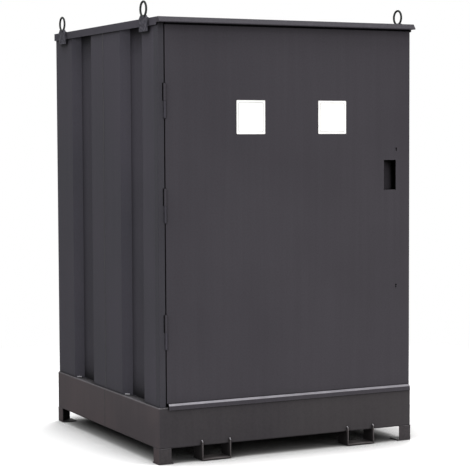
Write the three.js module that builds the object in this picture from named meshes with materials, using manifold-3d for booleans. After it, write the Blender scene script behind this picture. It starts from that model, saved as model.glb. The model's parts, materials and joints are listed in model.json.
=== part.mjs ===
// Drum storage cabinet: a welded sheet steel locker on a spill sump, for four standing drums.
// Millimetres, +Z up. The front faces -Y, the floor is Z = 0, and X = 0 is the middle of the front.
// Pieces are laid out with Y = 0 on the sump's front face, and the group is centred in Y at the end.

import * as THREE from 'three';
import { mergeVertices } from 'three/addons/utils/BufferGeometryUtils.js';
import Module from 'manifold-3d';

const wasm = await Module();
wasm.setup();

// Whole cabinet, without its lifting eyes
const cabinetWidth = 1330;
const cabinetDepth = 1300;
const cabinetHeight = 2000;

// Fits shared by all pieces
const weldGap = 0.3;
const cutOverrun = 5;

// Feet: square tube on a wider foot plate
const footHeight = 70;
const footTube = 62;
const footWall = 4;
const footPlate = 6;
const footPlateLip = 10;

// Fork pockets: loops of flat bar welded under the sump's front and rear edges
const forkWidth = 146;
const forkLoopReach = 80;
const forkSpacing = 762;
const forkWall = 6;
const forkGroundGap = 3;
const forkStickOut = 9;
const forkTabRise = 22;
const forkTabBevel = 5;

// Spill sump and what lies in it
const sumpHeight = 188;
const sumpSheet = 3;
const sumpFlange = 62;
const bearerWidth = 40;
const bearerSheet = 3;
const bearerEndGap = 3;
const gratingHeight = 30;
const gratingBar = 8;
const gratingPlay = 3;
const gratingDrop = 2;
const gratingCellsAcross = 4;
const gratingCellsDeep = 8;

// Corrugated walls
const wallInset = 7;
const wallSheet = 2;
const recessDepth = 38;
const recessRun = 38;
const recessWidth = 262;
const sideFirstRecess = 176;
const sideRecessPitch = 630;
const rearFirstRecess = 200;

// Ventilation grilles in the rear wall
const ventToFold = 18;
const ventFrame = 16;
const ventSheet = 1.5;
const ventLouvreReach = 9;
const ventLouvres = 5;
const ventHoodShare = 2 / 3;
const ventHeightShares = [0.13, 0.87];

// Door frame
const frameSheet = 3;
const frameSetBack = 41;
const postFace = 32;
const postSide = 40;
const stopFlange = 26;
const stopReturn = 16;
const lockPostFace = 52;
const lockPostDepth = 50;
const lockPostReturn = 22;
const headerHeight = 97;
const headerDepth = 36;
const sillHeight = 32;
const sillDepth = 38;

// Roof, canopy and roof bearers
const roofSheet = 2.5;
const roofRim = 35;
const roofFrontRim = 23;
const canopyReach = 38;
const canopyTopReach = 22;
const canopyFaceHeight = 21;
const canopyLip = 4;
const canopyHem = 16;
const roofBearerWidth = 80;
const roofBearerHeight = 40;
const roofBearerFlange = 20;

// Lifting eyes
const eyeBar = 10;
const eyeCentreDiameter = 66;
const eyeAboveRoof = 42;
const eyeFromEnd = 130;
const eyePlateWidth = 88;
const eyePlateAboveRoof = 12;
const eyePlateCrown = 64;
const eyePlateBelowRim = 24;
const eyePlateThickness = 8;

// Door leaf
const doorSetBack = 3;
const doorDepth = 35;
const doorSheet = 2;
const doorLip = 22;
const doorAboveSump = 15;
const doorBelowRoof = 31;
const stiffenerWidth = 90;
const stiffenerDepth = 27;
const stiffenerFlange = 18;
const stiffenerShares = [0.25, 0.5, 0.75];
const sealWidth = 12;
const sealFromEdge = 4;
const skirtSlope = 10;
const skirtDrop = 18;
const skirtShelf = 30;
const skirtHingeInset = 7;

// Hinges: a knuckle on the post, a knuckle on the door and a pin
const hingeRadius = 7;
const hingeLength = 157;
const hingeKnuckleGap = 1;
const hingeToPost = 2;
const hingeToDoor = 1.5;
const hingeSetBack = 1;
const hingeNotchPlay = 1.5;
const hingePostSlot = 5;
const hingeCap = 6;
const pinRadius = 4;
const pinPlay = 0.3;
const hingeHeightShares = [0.19, 0.524, 0.8];

// Handle pocket: a slanted recess whose deep side runs on behind the skin as a finger grip
const pocketWidth = 67;
const pocketHeight = 142;
const pocketFromEdge = 110;
const pocketHeightShare = 0.597;
const pocketShallow = 6;
const pocketDeep = 26;
const pocketGrip = 10;
const pocketSheet = 2;

// Deadlocks
const lockWidth = 57;
const lockHeight = 110;
const lockBelowKey = 45;
const lockBack = 22;
const lockToPost = 9;
const lockOverPocket = 8;
const lowerLockShare = 0.286;
const keyRadius = 4.5;
const keySlot = 5;
const keySlotDrop = 14;
const keyFromEdge = 75;
const keyDepth = 18;
const boltHeight = 20;
const boltThickness = 9;
const boltThrow = 22;
const boltPlay = 0.5;
const boltDrop = 34;
const boltFromBack = 4;
const strikePlay = 2;

// Counts of facets on round faces
const roundSegments = 24;
const ringSegments = 28;
const ringBarSegments = 10;
const arcSegments = 16;

// Places that several pieces share
const sideOut = cabinetWidth / 2;
const wallOut = sideOut - wallInset;
const rearOut = cabinetDepth - wallInset;
const sumpTop = footHeight + sumpHeight;
const wallFoot = sumpTop + weldGap;
const wallHead = cabinetHeight - roofSheet - weldGap;
const postRight = -wallOut + postFace;
const hingeX = postRight + hingeToPost;
const hingeY = doorSetBack + hingeSetBack;
const doorLeft = hingeX + hingeToDoor;
const doorRight = wallOut;
const doorWidth = doorRight - doorLeft;
const doorBottom = sumpTop + doorAboveSump;
const doorTop = cabinetHeight - doorBelowRoof;
const doorHeight = doorTop - doorBottom;
const doorBack = doorSetBack + doorDepth;
const skinBack = doorSetBack + doorSheet;
const lockPostLeft = wallOut - lockPostFace;
const stopRight = postRight + stopFlange;
const recessedWall = wallOut - recessDepth - wallSheet;
const ventSize = recessWidth - 2 * (recessRun + ventToFold);
const ventHole = ventSize - 2 * ventFrame;
const eyeCentreZ = cabinetHeight + eyeAboveRoof;
const eyeRadius = eyeCentreDiameter / 2;
const eyeX = sideOut + weldGap + eyePlateThickness / 2;
const lockRight = lockPostLeft - lockToPost;
const lockRear = doorBack + lockBack;

// Finishes, with colours read off the photographed cabinet
function finish(color, roughness, metalness) {
  return new THREE.MeshStandardMaterial({ color, roughness, metalness });
}
const bodyPaint = finish(0x46454a, 0.5, 0.1);
const doorPaint = finish(0x424146, 0.48, 0.1);
const sumpPaint = finish(0x403e41, 0.55, 0.1);
const galvanised = finish(0xa9adb0, 0.45, 0.8);
const brightSteel = finish(0xb8b9bb, 0.3, 0.9);
const lockZinc = finish(0x9fa2a0, 0.4, 0.8);
const sealRubber = finish(0x151516, 0.85, 0);

// A closed geometry as a solid that can be joined and cut
function solid(geometry) {
  const bare = geometry.clone();
  bare.deleteAttribute('normal');
  bare.deleteAttribute('uv');
  const welded = mergeVertices(bare);
  const vertProperties = new Float32Array(welded.attributes.position.array);
  const triVerts = new Uint32Array(welded.index.array);
  return new wasm.Manifold(new wasm.Mesh({ numProp: 3, vertProperties, triVerts }));
}

// Joins the first list of geometries and takes the second list out of them
function carve(joined, removed) {
  let body = joined.map(solid).reduce((whole, part) => whole.add(part));
  for (const geometry of removed) body = body.subtract(solid(geometry));
  const mesh = body.getMesh();
  const result = new THREE.BufferGeometry();
  result.setAttribute('position', new THREE.BufferAttribute(mesh.vertProperties, 3));
  result.setIndex(new THREE.BufferAttribute(mesh.triVerts, 1));
  result.computeVertexNormals();
  return result;
}

// A box from three pairs of limits, in either order
function block(x, y, z) {
  const size = [x, y, z].map(([from, to]) => Math.abs(to - from));
  const middle = [x, y, z].map(([from, to]) => (from + to) / 2);
  return new THREE.BoxGeometry(...size).translate(...middle);
}

// Directions of an outline's two coordinates, and the one it is drawn out along
const alongX = [new THREE.Vector3(0, 1, 0), new THREE.Vector3(0, 0, 1), new THREE.Vector3(1, 0, 0)];
const againstY = [new THREE.Vector3(1, 0, 0), new THREE.Vector3(0, 0, 1), new THREE.Vector3(0, -1, 0)];
const alongZ = [new THREE.Vector3(1, 0, 0), new THREE.Vector3(0, 1, 0), new THREE.Vector3(0, 0, 1)];

// Draws an outline out along one axis between two places on it
function prism(outline, axes, from, to) {
  const isShape = outline instanceof THREE.Shape;
  const shape = isShape ? outline : new THREE.Shape(outline.map(([u, v]) => new THREE.Vector2(u, v)));
  const depth = Math.abs(to - from);
  const settings = { depth, bevelEnabled: false, curveSegments: arcSegments };
  const geometry = new THREE.ExtrudeGeometry(shape, settings);
  geometry.applyMatrix4(new THREE.Matrix4().makeBasis(...axes));
  const start = axes === againstY ? Math.max(from, to) : Math.min(from, to);
  return geometry.translate(...axes[2].clone().multiply(axes[2]).multiplyScalar(start));
}

// Outline of a folded sheet: the path is one face, and the sheet lies to the left of its travel
function folded(path, thickness) {
  const points = path.map(([u, v]) => new THREE.Vector2(u, v));
  const normals = points.slice(1).map((point, i) => {
    const travel = point.clone().sub(points[i]).normalize();
    return new THREE.Vector2(-travel.y, travel.x);
  });
  const other = points.map((point, i) => {
    const before = normals[Math.max(i - 1, 0)];
    const after = normals[Math.min(i, normals.length - 1)];
    const mitre = before.clone().add(after).divideScalar(1 + before.dot(after));
    return point.clone().addScaledVector(mitre, thickness);
  });
  return [...points, ...other.reverse()].map((point) => [point.x, point.y]);
}

// An upright cylinder on the hinge line
function hingeRound(radius, z) {
  const [from, to] = z;
  const geometry = new THREE.CylinderGeometry(radius, radius, to - from, roundSegments);
  return geometry.rotateX(Math.PI / 2).translate(hingeX, hingeY, (from + to) / 2);
}

const cabinet = new THREE.Group();
const base = new THREE.Group();
const shell = new THREE.Group();
const door = new THREE.Group();
cabinet.add(base, shell, door);

function piece(group, name, geometry, material) {
  const mesh = new THREE.Mesh(geometry, material);
  mesh.name = name;
  group.add(mesh);
}

const sides = [['left', -1], ['right', 1]];
const ends = [['front', 0, 1], ['rear', cabinetDepth, -1]];

// Feet, flush with the sump's corners, each a tube that is open at the top on a foot plate
function addFeet() {
  for (const [sideName, side] of sides) {
    for (const [endName, endY, inward] of ends) {
      const outX = side * sideOut;
      const tubeX = [outX, outX - side * footTube];
      const tubeY = [endY, endY + inward * footTube];
      const tubeZ = [0, footHeight - weldGap];
      const plateSize = footTube + footPlateLip;
      const plate = block([outX, outX - side * plateSize], [endY, endY + inward * plateSize], [0, footPlate]);
      const boreX = [outX - side * footWall, outX - side * (footTube - footWall)];
      const boreY = [endY + inward * footWall, endY + inward * (footTube - footWall)];
      const bore = block(boreX, boreY, [footPlate, footHeight + cutOverrun]);
      const foot = carve([block(tubeX, tubeY, tubeZ), plate], [bore]);
      piece(base, `foot_${endName}_${sideName}`, foot, sumpPaint);
    }
  }
}

// Fork pockets: a loop at each end of each pocket, with its walls standing up past the sump's face
function addForkLoops() {
  const roof = footHeight - weldGap;
  const tab = footHeight + forkTabRise;
  for (const [endName, endY, inward] of ends) {
    const face = endY - inward * weldGap;
    const out = endY - inward * forkStickOut;
    const back = endY + inward * forkLoopReach;
    const wallOutline = [
      [out, forkGroundGap], [back, forkGroundGap], [back, roof], [face, roof],
      [face, tab], [out + inward * forkTabBevel, tab], [out, tab - forkTabBevel],
    ];
    for (const [sideName, side] of sides) {
      const middle = side * forkSpacing / 2;
      const left = middle - forkWidth / 2;
      const right = middle + forkWidth / 2;
      const floor = block([left, right], [out, back], [forkGroundGap, forkGroundGap + forkWall]);
      const leftWall = prism(wallOutline, alongX, left, left + forkWall);
      const rightWall = prism(wallOutline, alongX, right - forkWall, right);
      piece(base, `fork_loop_${endName}_${sideName}`, carve([floor, leftWall, rightWall], []), sumpPaint);
    }
  }
}

// Spill sump: a tub with a flange turned in round its top
function addSump() {
  const inX = sideOut - sumpSheet;
  const mouthX = sideOut - sumpFlange;
  const outside = block([-sideOut, sideOut], [0, cabinetDepth], [footHeight, sumpTop]);
  const wellZ = [footHeight + sumpSheet, sumpTop - sumpSheet];
  const well = block([-inX, inX], [sumpSheet, cabinetDepth - sumpSheet], wellZ);
  const mouthZ = [sumpTop - sumpSheet - cutOverrun, sumpTop + cutOverrun];
  const mouth = block([-mouthX, mouthX], [sumpFlange, cabinetDepth - sumpFlange], mouthZ);
  piece(base, 'sump_tub', carve([outside], [well, mouth]), sumpPaint);
}

// Grating bearers: channels across the sump, open side down
function addBearers() {
  const foot = footHeight + sumpSheet + weldGap;
  const head = sumpTop - gratingDrop - gratingHeight - weldGap;
  const end = sideOut - sumpSheet - bearerEndGap;
  const first = sumpFlange + bearerWidth;
  const last = cabinetDepth - first;
  const places = [['front', first], ['middle', cabinetDepth / 2], ['rear', last]];
  for (const [name, y] of places) {
    const half = bearerWidth / 2;
    const path = [[y - half, foot], [y - half, head], [y + half, head], [y + half, foot]];
    piece(base, `grating_bearer_${name}`, prism(folded(path, -bearerSheet), alongX, -end, end), galvanised);
  }
}

// Two lift-out gratings side by side in the sump's mouth
function addGratings() {
  const outer = sideOut - sumpFlange - gratingPlay;
  const inner = gratingPlay / 2;
  const front = sumpFlange + gratingPlay;
  const rear = cabinetDepth - front;
  const top = sumpTop - gratingDrop;
  const cellWidth = (outer - inner - gratingBar) / gratingCellsAcross;
  const cellDepth = (rear - front - gratingBar) / gratingCellsDeep;
  const cellZ = [top - gratingHeight - cutOverrun, top + cutOverrun];
  for (const [sideName, side] of sides) {
    const cells = [];
    for (let i = 0; i < gratingCellsAcross; i += 1) {
      for (let j = 0; j < gratingCellsDeep; j += 1) {
        const x = [side * (inner + gratingBar + i * cellWidth), side * (inner + (i + 1) * cellWidth)];
        const y = [front + gratingBar + j * cellDepth, front + (j + 1) * cellDepth];
        cells.push(block(x, y, cellZ));
      }
    }
    const panel = block([side * inner, side * outer], [front, rear], [top - gratingHeight, top]);
    piece(base, `grating_${sideName}`, carve([panel], cells), galvanised);
  }
}

// One face of a corrugated wall from start to end, with one recess; u runs along it, v out of it
function corrugated(start, recessStart, end, out, inward) {
  const recessEnd = recessStart + recessWidth;
  const deep = out + inward * recessDepth;
  return [
    [start, out], [recessStart, out], [recessStart + recessRun, deep],
    [recessEnd - recessRun, deep], [recessEnd, out], [end, out],
  ];
}

// Side walls: a front and a rear panel each, which meet in the middle of the side
function addSideWalls() {
  const starts = { left: doorSetBack + postSide + weldGap, right: frameSetBack + postSide + weldGap };
  const seam = cabinetDepth / 2;
  for (const [sideName, side] of sides) {
    const out = side * wallOut;
    const panels = [
      ['front', starts[sideName], sideFirstRecess, seam - weldGap / 2],
      ['rear', seam + weldGap / 2, sideFirstRecess + sideRecessPitch, rearOut],
    ];
    for (const [name, start, recess, end] of panels) {
      const path = corrugated(start, recess, end, out, -side).map(([y, x]) => [x, y]);
      const geometry = prism(folded(path, side * wallSheet), alongZ, wallFoot, wallHead);
      piece(shell, `side_wall_${sideName}_${name}`, geometry, bodyPaint);
    }
  }
}

// Middle of the recess in the rear wall, and the plane of its floor's outer face
const rearRecessX = wallOut - rearFirstRecess - recessWidth / 2;
const rearRecessY = rearOut - recessDepth;
const ventHeights = ventHeightShares.map((share) => wallFoot + share * (wallHead - wallFoot));

// Rear wall: two corrugated panels between the side walls, pierced behind the ventilation grilles
function addRearWall() {
  const end = wallOut - wallSheet - weldGap;
  for (const [sideName, side] of sides) {
    const path = corrugated(weldGap / 2, rearRecessX - recessWidth / 2, end, rearOut, -1);
    const turned = path.map(([x, y]) => [side * x, y]);
    const sheet = prism(folded(turned, -side * wallSheet), alongZ, wallFoot, wallHead);
    const holes = ventHeights.map((z) => {
      const x = side * rearRecessX;
      const acrossX = [x - ventHole / 2, x + ventHole / 2];
      const throughY = [rearRecessY - wallSheet - cutOverrun, rearRecessY + cutOverrun];
      return block(acrossX, throughY, [z - ventHole / 2, z + ventHole / 2]);
    });
    piece(shell, `rear_wall_${sideName}`, carve([sheet], holes), bodyPaint);
  }
}

// Ventilation grilles: plates with hooded louvres that open downwards
function addVents() {
  const back = rearRecessY + weldGap;
  const face = back + ventSheet;
  const pitch = ventHole / ventLouvres;
  const hood = ventHoodShare * pitch;
  const names = ['low', 'high'];
  for (const [sideName, side] of sides) {
    const middle = side * rearRecessX;
    const half = ventSize / 2;
    const hoodHalf = ventHole / 2;
    names.forEach((name, row) => {
      const z = ventHeights[row];
      const joined = [block([middle - half, middle + half], [back, face], [z - half, z + half])];
      const removed = [];
      for (let i = 0; i < ventLouvres; i += 1) {
        const low = z - hoodHalf + (i + 1 / 2) * pitch - hood / 2;
        const high = low + hood;
        const inside = high - 2 * ventSheet;
        const reach = face + ventLouvreReach;
        const wedge = [[back, high], [back, low], [reach, low], [face, high]];
        const hollow = [
          [back - cutOverrun, inside], [face, inside], [reach - 2 * ventSheet, low],
          [reach - 2 * ventSheet, low - ventSheet], [face, low - ventSheet],
          [face, low + ventSheet], [back - cutOverrun, low + ventSheet],
        ];
        const hoodX = [middle - hoodHalf, middle + hoodHalf];
        joined.push(prism(wedge, alongX, ...hoodX));
        removed.push(prism(hollow, alongX, hoodX[0] + ventSheet, hoodX[1] - ventSheet));
      }
      piece(shell, `rear_vent_${sideName}_${name}`, carve(joined, removed), bodyPaint);
    });
  }
}

const hingeHeights = hingeHeightShares.map((share) => doorBottom + share * doorHeight);
const hingeNames = ['lower', 'middle', 'upper'];

// Heights of the handle pocket's middle and of the keys, with the upper lock just over the pocket
const pocketZ = doorBottom + pocketHeightShare * doorHeight;
const pocketTop = pocketZ + pocketHeight / 2 + pocketSheet;
const lockNames = ['lower', 'upper'];
const lockHeights = [
  doorBottom + lowerLockShare * doorHeight,
  pocketTop + lockOverPocket + lockBelowKey,
];

// Limits of a bolt at rest, drawn back into its lock case, where half of it stays when it is thrown
function boltLimits(z) {
  const tip = lockRight - boltPlay;
  const y = lockRear - boltFromBack - boltThickness;
  const low = z - boltDrop;
  return [[tip - 2 * boltThrow, tip], [y, y + boltThickness], [low, low + boltHeight]];
}

// The same limits with play on every side
function widened(limits, play) {
  return limits.map(([from, to]) => [from - play, to + play]);
}

// Hinge post: a folded face and side that the door closes beside, and a stop flange behind the door
function addHingePost() {
  const path = [
    [-wallOut, doorSetBack + postSide], [-wallOut, doorSetBack], [postRight, doorSetBack],
    [postRight, frameSetBack], [stopRight, frameSetBack], [stopRight, frameSetBack + stopReturn],
  ];
  const post = prism(folded(path, frameSheet), alongZ, wallFoot, wallHead);
  const deep = hingeY + hingeRadius + hingeNotchPlay;
  const notchY = [doorSetBack - cutOverrun, deep];
  const notches = hingeHeights.flatMap((z) => {
    const half = hingeLength / 2;
    const seat = hingeX - hingeRadius - weldGap;
    const clear = hingeX - hingeRadius - hingePostSlot;
    const beyond = postRight + cutOverrun;
    return [
      block([seat, beyond], notchY, [z - half, z]),
      block([clear, beyond], notchY, [z, z + half]),
    ];
  });
  piece(shell, 'hinge_post', carve([post], notches), bodyPaint);
}

// Lock post: a channel behind the door's free edge, with a slot for each bolt
function addLockPost() {
  const rear = frameSetBack + lockPostDepth;
  const path = [
    [lockPostLeft + lockPostReturn, rear], [lockPostLeft, rear], [lockPostLeft, frameSetBack],
    [wallOut, frameSetBack], [wallOut, frameSetBack + postSide],
  ];
  const post = prism(folded(path, frameSheet), alongZ, wallFoot, wallHead);
  const slots = lockHeights.map((z) => {
    const [, y, height] = widened(boltLimits(z), strikePlay);
    return block([lockPostLeft - cutOverrun, lockPostLeft + frameSheet + cutOverrun], y, height);
  });
  piece(shell, 'lock_post', carve([post], slots), bodyPaint);
}

// Header over the doorway and sill below it, between the two posts
function addHeaderAndSill() {
  const left = stopRight + weldGap;
  const right = lockPostLeft - weldGap;
  const rear = frameSetBack + headerDepth;
  const low = wallHead - headerHeight;
  const headerPath = [[frameSetBack, wallHead], [frameSetBack, low], [rear, low], [rear, low + sillHeight]];
  piece(shell, 'door_header', prism(folded(headerPath, frameSheet), alongX, left, right), bodyPaint);
  const sillPath = [
    [frameSetBack, wallFoot + sillHeight], [frameSetBack, wallFoot], [frameSetBack + sillDepth, wallFoot],
  ];
  piece(shell, 'door_sill', prism(folded(sillPath, frameSheet), alongX, left, right), bodyPaint);
}

// Roof tray with its rim turned down outside the walls, and a shorter rim behind the canopy
function addRoof() {
  const rimFoot = cabinetHeight - roofRim;
  const outside = block([-sideOut, sideOut], [0, cabinetDepth], [rimFoot, cabinetHeight]);
  const inX = sideOut - roofSheet;
  const insideY = [roofSheet, cabinetDepth - roofSheet];
  const inside = block([-inX, inX], insideY, [rimFoot - cutOverrun, cabinetHeight - roofSheet]);
  const frontZ = [rimFoot - cutOverrun, cabinetHeight - roofFrontRim];
  const front = block([-inX, inX], [-cutOverrun, roofSheet + cutOverrun], frontZ);
  piece(shell, 'roof_tray', carve([outside], [inside, front]), bodyPaint);
}

// Roof bearers: hat channels across under the roof
function addRoofBearers() {
  const end = recessedWall - weldGap;
  const top = wallHead;
  const low = top - roofBearerHeight;
  const half = roofBearerWidth / 2;
  const flange = half + roofBearerFlange;
  const names = ['front', 'rear'];
  names.forEach((name, i) => {
    const y = (i + 1) * cabinetDepth / (names.length + 1);
    const path = [
      [y - flange, top], [y - half, top], [y - half, low],
      [y + half, low], [y + half, top], [y + flange, top],
    ];
    piece(shell, `roof_bearer_${name}`, prism(folded(path, -roofSheet), alongX, -end, end), galvanised);
  });
}

// Canopy: a folded drip nose along the roof's front edge, closed at both ends
function addCanopy() {
  const back = -weldGap;
  const noseZ = cabinetHeight - canopyFaceHeight;
  const footZ = noseZ - canopyLip;
  const path = [
    [back, cabinetHeight], [-canopyTopReach, cabinetHeight], [-canopyReach, noseZ],
    [-canopyReach, footZ], [-canopyReach + canopyHem, footZ],
  ];
  const lining = folded(path, roofSheet).slice(path.length + 1, -1).reverse();
  const hemEnd = path.at(-1)[0];
  const cavity = [
    [back + cutOverrun, cabinetHeight - roofSheet], ...lining,
    [hemEnd, footZ + roofSheet], [hemEnd, footZ - cutOverrun], [back + cutOverrun, footZ - cutOverrun],
  ];
  const inX = sideOut - roofSheet;
  const nose = prism([...path.slice(0, -1), [back, footZ]], alongX, -sideOut, sideOut);
  piece(shell, 'canopy', carve([nose], [prism(cavity, alongX, -inX, inX)]), bodyPaint);
}

// Lifting eyes: a bar ring seated in a saddle of a plate that is welded over the roof rim
function addLiftingEyes() {
  const top = cabinetHeight + eyePlateAboveRoof;
  const low = cabinetHeight - roofRim - eyePlateBelowRim;
  const seat = eyeRadius + eyeBar / 2 + weldGap;
  const saddle = Math.asin((eyeAboveRoof - eyePlateAboveRoof) / seat);
  const places = [['front', eyeFromEnd], ['rear', cabinetDepth - eyeFromEnd]];
  for (const [sideName, side] of sides) {
    for (const [endName, y] of places) {
      const half = eyePlateWidth / 2;
      const crown = eyePlateCrown / 2;
      const outline = new THREE.Shape();
      outline.moveTo(y - crown, top);
      outline.lineTo(y - half, cabinetHeight);
      outline.lineTo(y - half, low);
      outline.lineTo(y + half, low);
      outline.lineTo(y + half, cabinetHeight);
      outline.lineTo(y + crown, top);
      outline.absarc(y, eyeCentreZ, seat, -saddle, saddle - Math.PI, true);
      outline.closePath();
      const inner = side * (sideOut + weldGap);
      const plate = prism(outline, alongX, inner, inner + side * eyePlateThickness);
      piece(shell, `lifting_plate_${endName}_${sideName}`, plate, bodyPaint);
      const ring = new THREE.TorusGeometry(eyeRadius, eyeBar / 2, ringBarSegments, ringSegments);
      ring.rotateY(Math.PI / 2).translate(side * eyeX, y, eyeCentreZ);
      piece(shell, `lifting_ring_${endName}_${sideName}`, ring, bodyPaint);
    }
  }
}

// Keyhole outline round (x, z): a round hole with a slot below it
function keyhole(x, z) {
  const shoulder = Math.acos(keySlot / 2 / keyRadius);
  const outline = new THREE.Shape();
  outline.moveTo(x - keySlot / 2, z - keySlotDrop);
  outline.lineTo(x + keySlot / 2, z - keySlotDrop);
  outline.absarc(x, z, keyRadius, -shoulder, Math.PI + shoulder, false);
  outline.closePath();
  return outline;
}

const keyX = doorRight - keyFromEdge;
const pocketRight = doorRight - pocketFromEdge + pocketWidth / 2;
const pocketLeft = pocketRight - pocketWidth;

// Door skin: a tray whose back edge is turned in as a lip for the seal
function addDoorSkin() {
  const z = [doorBottom, doorTop];
  const outside = block([doorLeft, doorRight], [doorSetBack, doorBack], z);
  const insideX = [doorLeft + doorSheet, doorRight - doorSheet];
  const insideZ = [doorBottom + doorSheet, doorTop - doorSheet];
  const inside = block(insideX, [skinBack, doorBack - doorSheet], insideZ);
  const mouthX = [doorLeft + doorLip, doorRight - doorLip];
  const mouthZ = [doorBottom + doorLip, doorTop - doorLip];
  const mouth = block(mouthX, [skinBack + doorSheet, doorBack + cutOverrun], mouthZ);
  const throughSkin = [doorSetBack - cutOverrun, skinBack + doorSheet];
  const pocketSpan = [pocketZ - pocketHeight / 2, pocketZ + pocketHeight / 2];
  const pocketHole = block([pocketLeft, pocketRight], throughSkin, pocketSpan);
  const keyholes = lockHeights.map((height) => prism(keyhole(keyX, height), againstY, ...throughSkin));
  const notchY = [doorSetBack - cutOverrun, hingeY + hingeRadius + hingeNotchPlay];
  const notches = hingeHeights.flatMap((height) => {
    const half = hingeLength / 2;
    const clear = hingeX + hingeRadius + hingeNotchPlay;
    const seat = hingeX + hingeRadius + weldGap;
    const before = doorLeft - cutOverrun;
    return [
      block([before, clear], notchY, [height - half, height]),
      block([before, seat], notchY, [height, height + half]),
    ];
  });
  const removed = [inside, mouth, pocketHole, ...keyholes, ...notches];
  piece(door, 'door_skin', carve([outside], removed), doorPaint);
}

// Stiffeners: upright hat channels on the back of the skin
function addStiffeners() {
  const face = skinBack + weldGap;
  const half = stiffenerWidth / 2;
  const crown = half - stiffenerFlange;
  const z = [doorBottom + doorSheet + weldGap, doorTop - doorSheet - weldGap];
  stiffenerShares.forEach((share, i) => {
    const x = doorLeft + share * doorWidth;
    const back = face + stiffenerDepth;
    const path = [
      [x - half, face], [x - crown, face], [x - crown, back],
      [x + crown, back], [x + crown, face], [x + half, face],
    ];
    piece(door, `door_stiffener_${i + 1}`, prism(folded(path, doorSheet), alongZ, ...z), doorPaint);
  });
}

// Door seal: a rubber loop on the lip that meets the posts, the header and the sill
function addSeal() {
  const outX = [doorLeft + sealFromEdge, doorRight - sealFromEdge];
  const outZ = [doorBottom + sealFromEdge, doorTop - sealFromEdge];
  const inX = [outX[0] + sealWidth, outX[1] - sealWidth];
  const inZ = [outZ[0] + sealWidth, outZ[1] - sealWidth];
  const y = [doorBack + weldGap, frameSetBack - weldGap];
  const through = [doorBack - cutOverrun, frameSetBack + cutOverrun];
  piece(door, 'door_seal', carve([block(outX, y, outZ)], [block(inX, through, inZ)]), sealRubber);
}

// Drip skirt: slopes out from the door's foot and hangs over the sump's front edge
function addSkirt() {
  const shelf = doorBottom - weldGap;
  const nose = doorSetBack - skirtSlope;
  const path = [
    [doorSetBack + skirtShelf, shelf], [doorSetBack, shelf],
    [nose, shelf - skirtSlope], [nose, shelf - skirtSlope - skirtDrop],
  ];
  const skirt = prism(folded(path, doorSheet), alongX, doorLeft + skirtHingeInset, doorRight);
  piece(door, 'door_skirt', skirt, doorPaint);
}

// Handle pocket: a pressed box behind the hole in the skin, deeper towards the free edge
function addHandlePocket() {
  const mouth = skinBack + weldGap;
  const z = [pocketZ - pocketHeight / 2, pocketZ + pocketHeight / 2];
  const right = pocketRight + pocketGrip;
  const cavity = [
    [pocketLeft, mouth - cutOverrun], [right, mouth - cutOverrun],
    [right, mouth + pocketDeep], [pocketRight, mouth + pocketDeep], [pocketLeft, mouth + pocketShallow],
  ];
  const outX = [pocketLeft - pocketSheet, right + pocketSheet];
  const casing = [
    [outX[0], mouth], [outX[1], mouth], [outX[1], mouth + pocketDeep + pocketSheet],
    [pocketRight, mouth + pocketDeep + pocketSheet], [outX[0], mouth + pocketShallow + pocketSheet],
  ];
  const box = prism(casing, alongZ, z[0] - pocketSheet, z[1] + pocketSheet);
  piece(door, 'handle_pocket', carve([box], [prism(cavity, alongZ, ...z)]), doorPaint);
}

// Deadlocks: a case behind each keyhole, and a square bolt that slides out towards the lock post
function addLocks() {
  const caseY = [skinBack + weldGap, lockRear];
  lockHeights.forEach((z, i) => {
    const caseX = [lockRight - lockWidth, lockRight];
    const low = z - lockBelowKey;
    const box = block(caseX, caseY, [low, low + lockHeight]);
    const bolt = boltLimits(z);
    const [tunnelX, tunnelY, tunnelZ] = widened(bolt, boltPlay);
    const tunnel = block([tunnelX[0], tunnelX[1] + cutOverrun], tunnelY, tunnelZ);
    const keyway = prism(keyhole(keyX, z), againstY, caseY[0] - cutOverrun, caseY[0] + keyDepth);
    piece(door, `lock_case_${lockNames[i]}`, carve([box], [tunnel, keyway]), lockZinc);
    piece(door, `lock_bolt_${lockNames[i]}`, block(...bolt), brightSteel);
  });
}

// Hinges: the lower knuckle is welded to the post and holds the pin, the upper one caps it
function addHinges() {
  const half = hingeLength / 2;
  const halfGap = hingeKnuckleGap / 2;
  hingeHeights.forEach((z, i) => {
    const postZ = [z - half, z - halfGap];
    const leafZ = [z + halfGap, z + half];
    const boreRadius = pinRadius + pinPlay;
    const postBore = hingeRound(boreRadius, [postZ[0] + hingeCap, postZ[1] + cutOverrun]);
    const leafBore = hingeRound(boreRadius, [leafZ[0] - cutOverrun, leafZ[1] - hingeCap]);
    const pinZ = [postZ[0] + hingeCap + pinPlay, leafZ[1] - hingeCap - pinPlay];
    const postKnuckle = carve([hingeRound(hingeRadius, postZ)], [postBore]);
    const leafKnuckle = carve([hingeRound(hingeRadius, leafZ)], [leafBore]);
    piece(shell, `hinge_knuckle_post_${hingeNames[i]}`, postKnuckle, bodyPaint);
    piece(shell, `hinge_pin_${hingeNames[i]}`, hingeRound(pinRadius, pinZ), brightSteel);
    piece(door, `hinge_knuckle_door_${hingeNames[i]}`, leafKnuckle, doorPaint);
  });
}

addFeet();
addForkLoops();
addSump();
addBearers();
addGratings();
addSideWalls();
addRearWall();
addVents();
addHingePost();
addLockPost();
addHeaderAndSill();
addRoof();
addRoofBearers();
addCanopy();
addLiftingEyes();
addDoorSkin();
addStiffeners();
addSeal();
addSkirt();
addHandlePocket();
addLocks();
addHinges();

// The origin is under the middle of the whole, from the canopy's nose to the rear fork loops
cabinet.position.y = (canopyReach - cabinetDepth - forkStickOut) / 2;

export default cabinet;
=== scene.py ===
import json
import math

import bmesh
import bpy
from mathutils import Matrix, Vector


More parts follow.
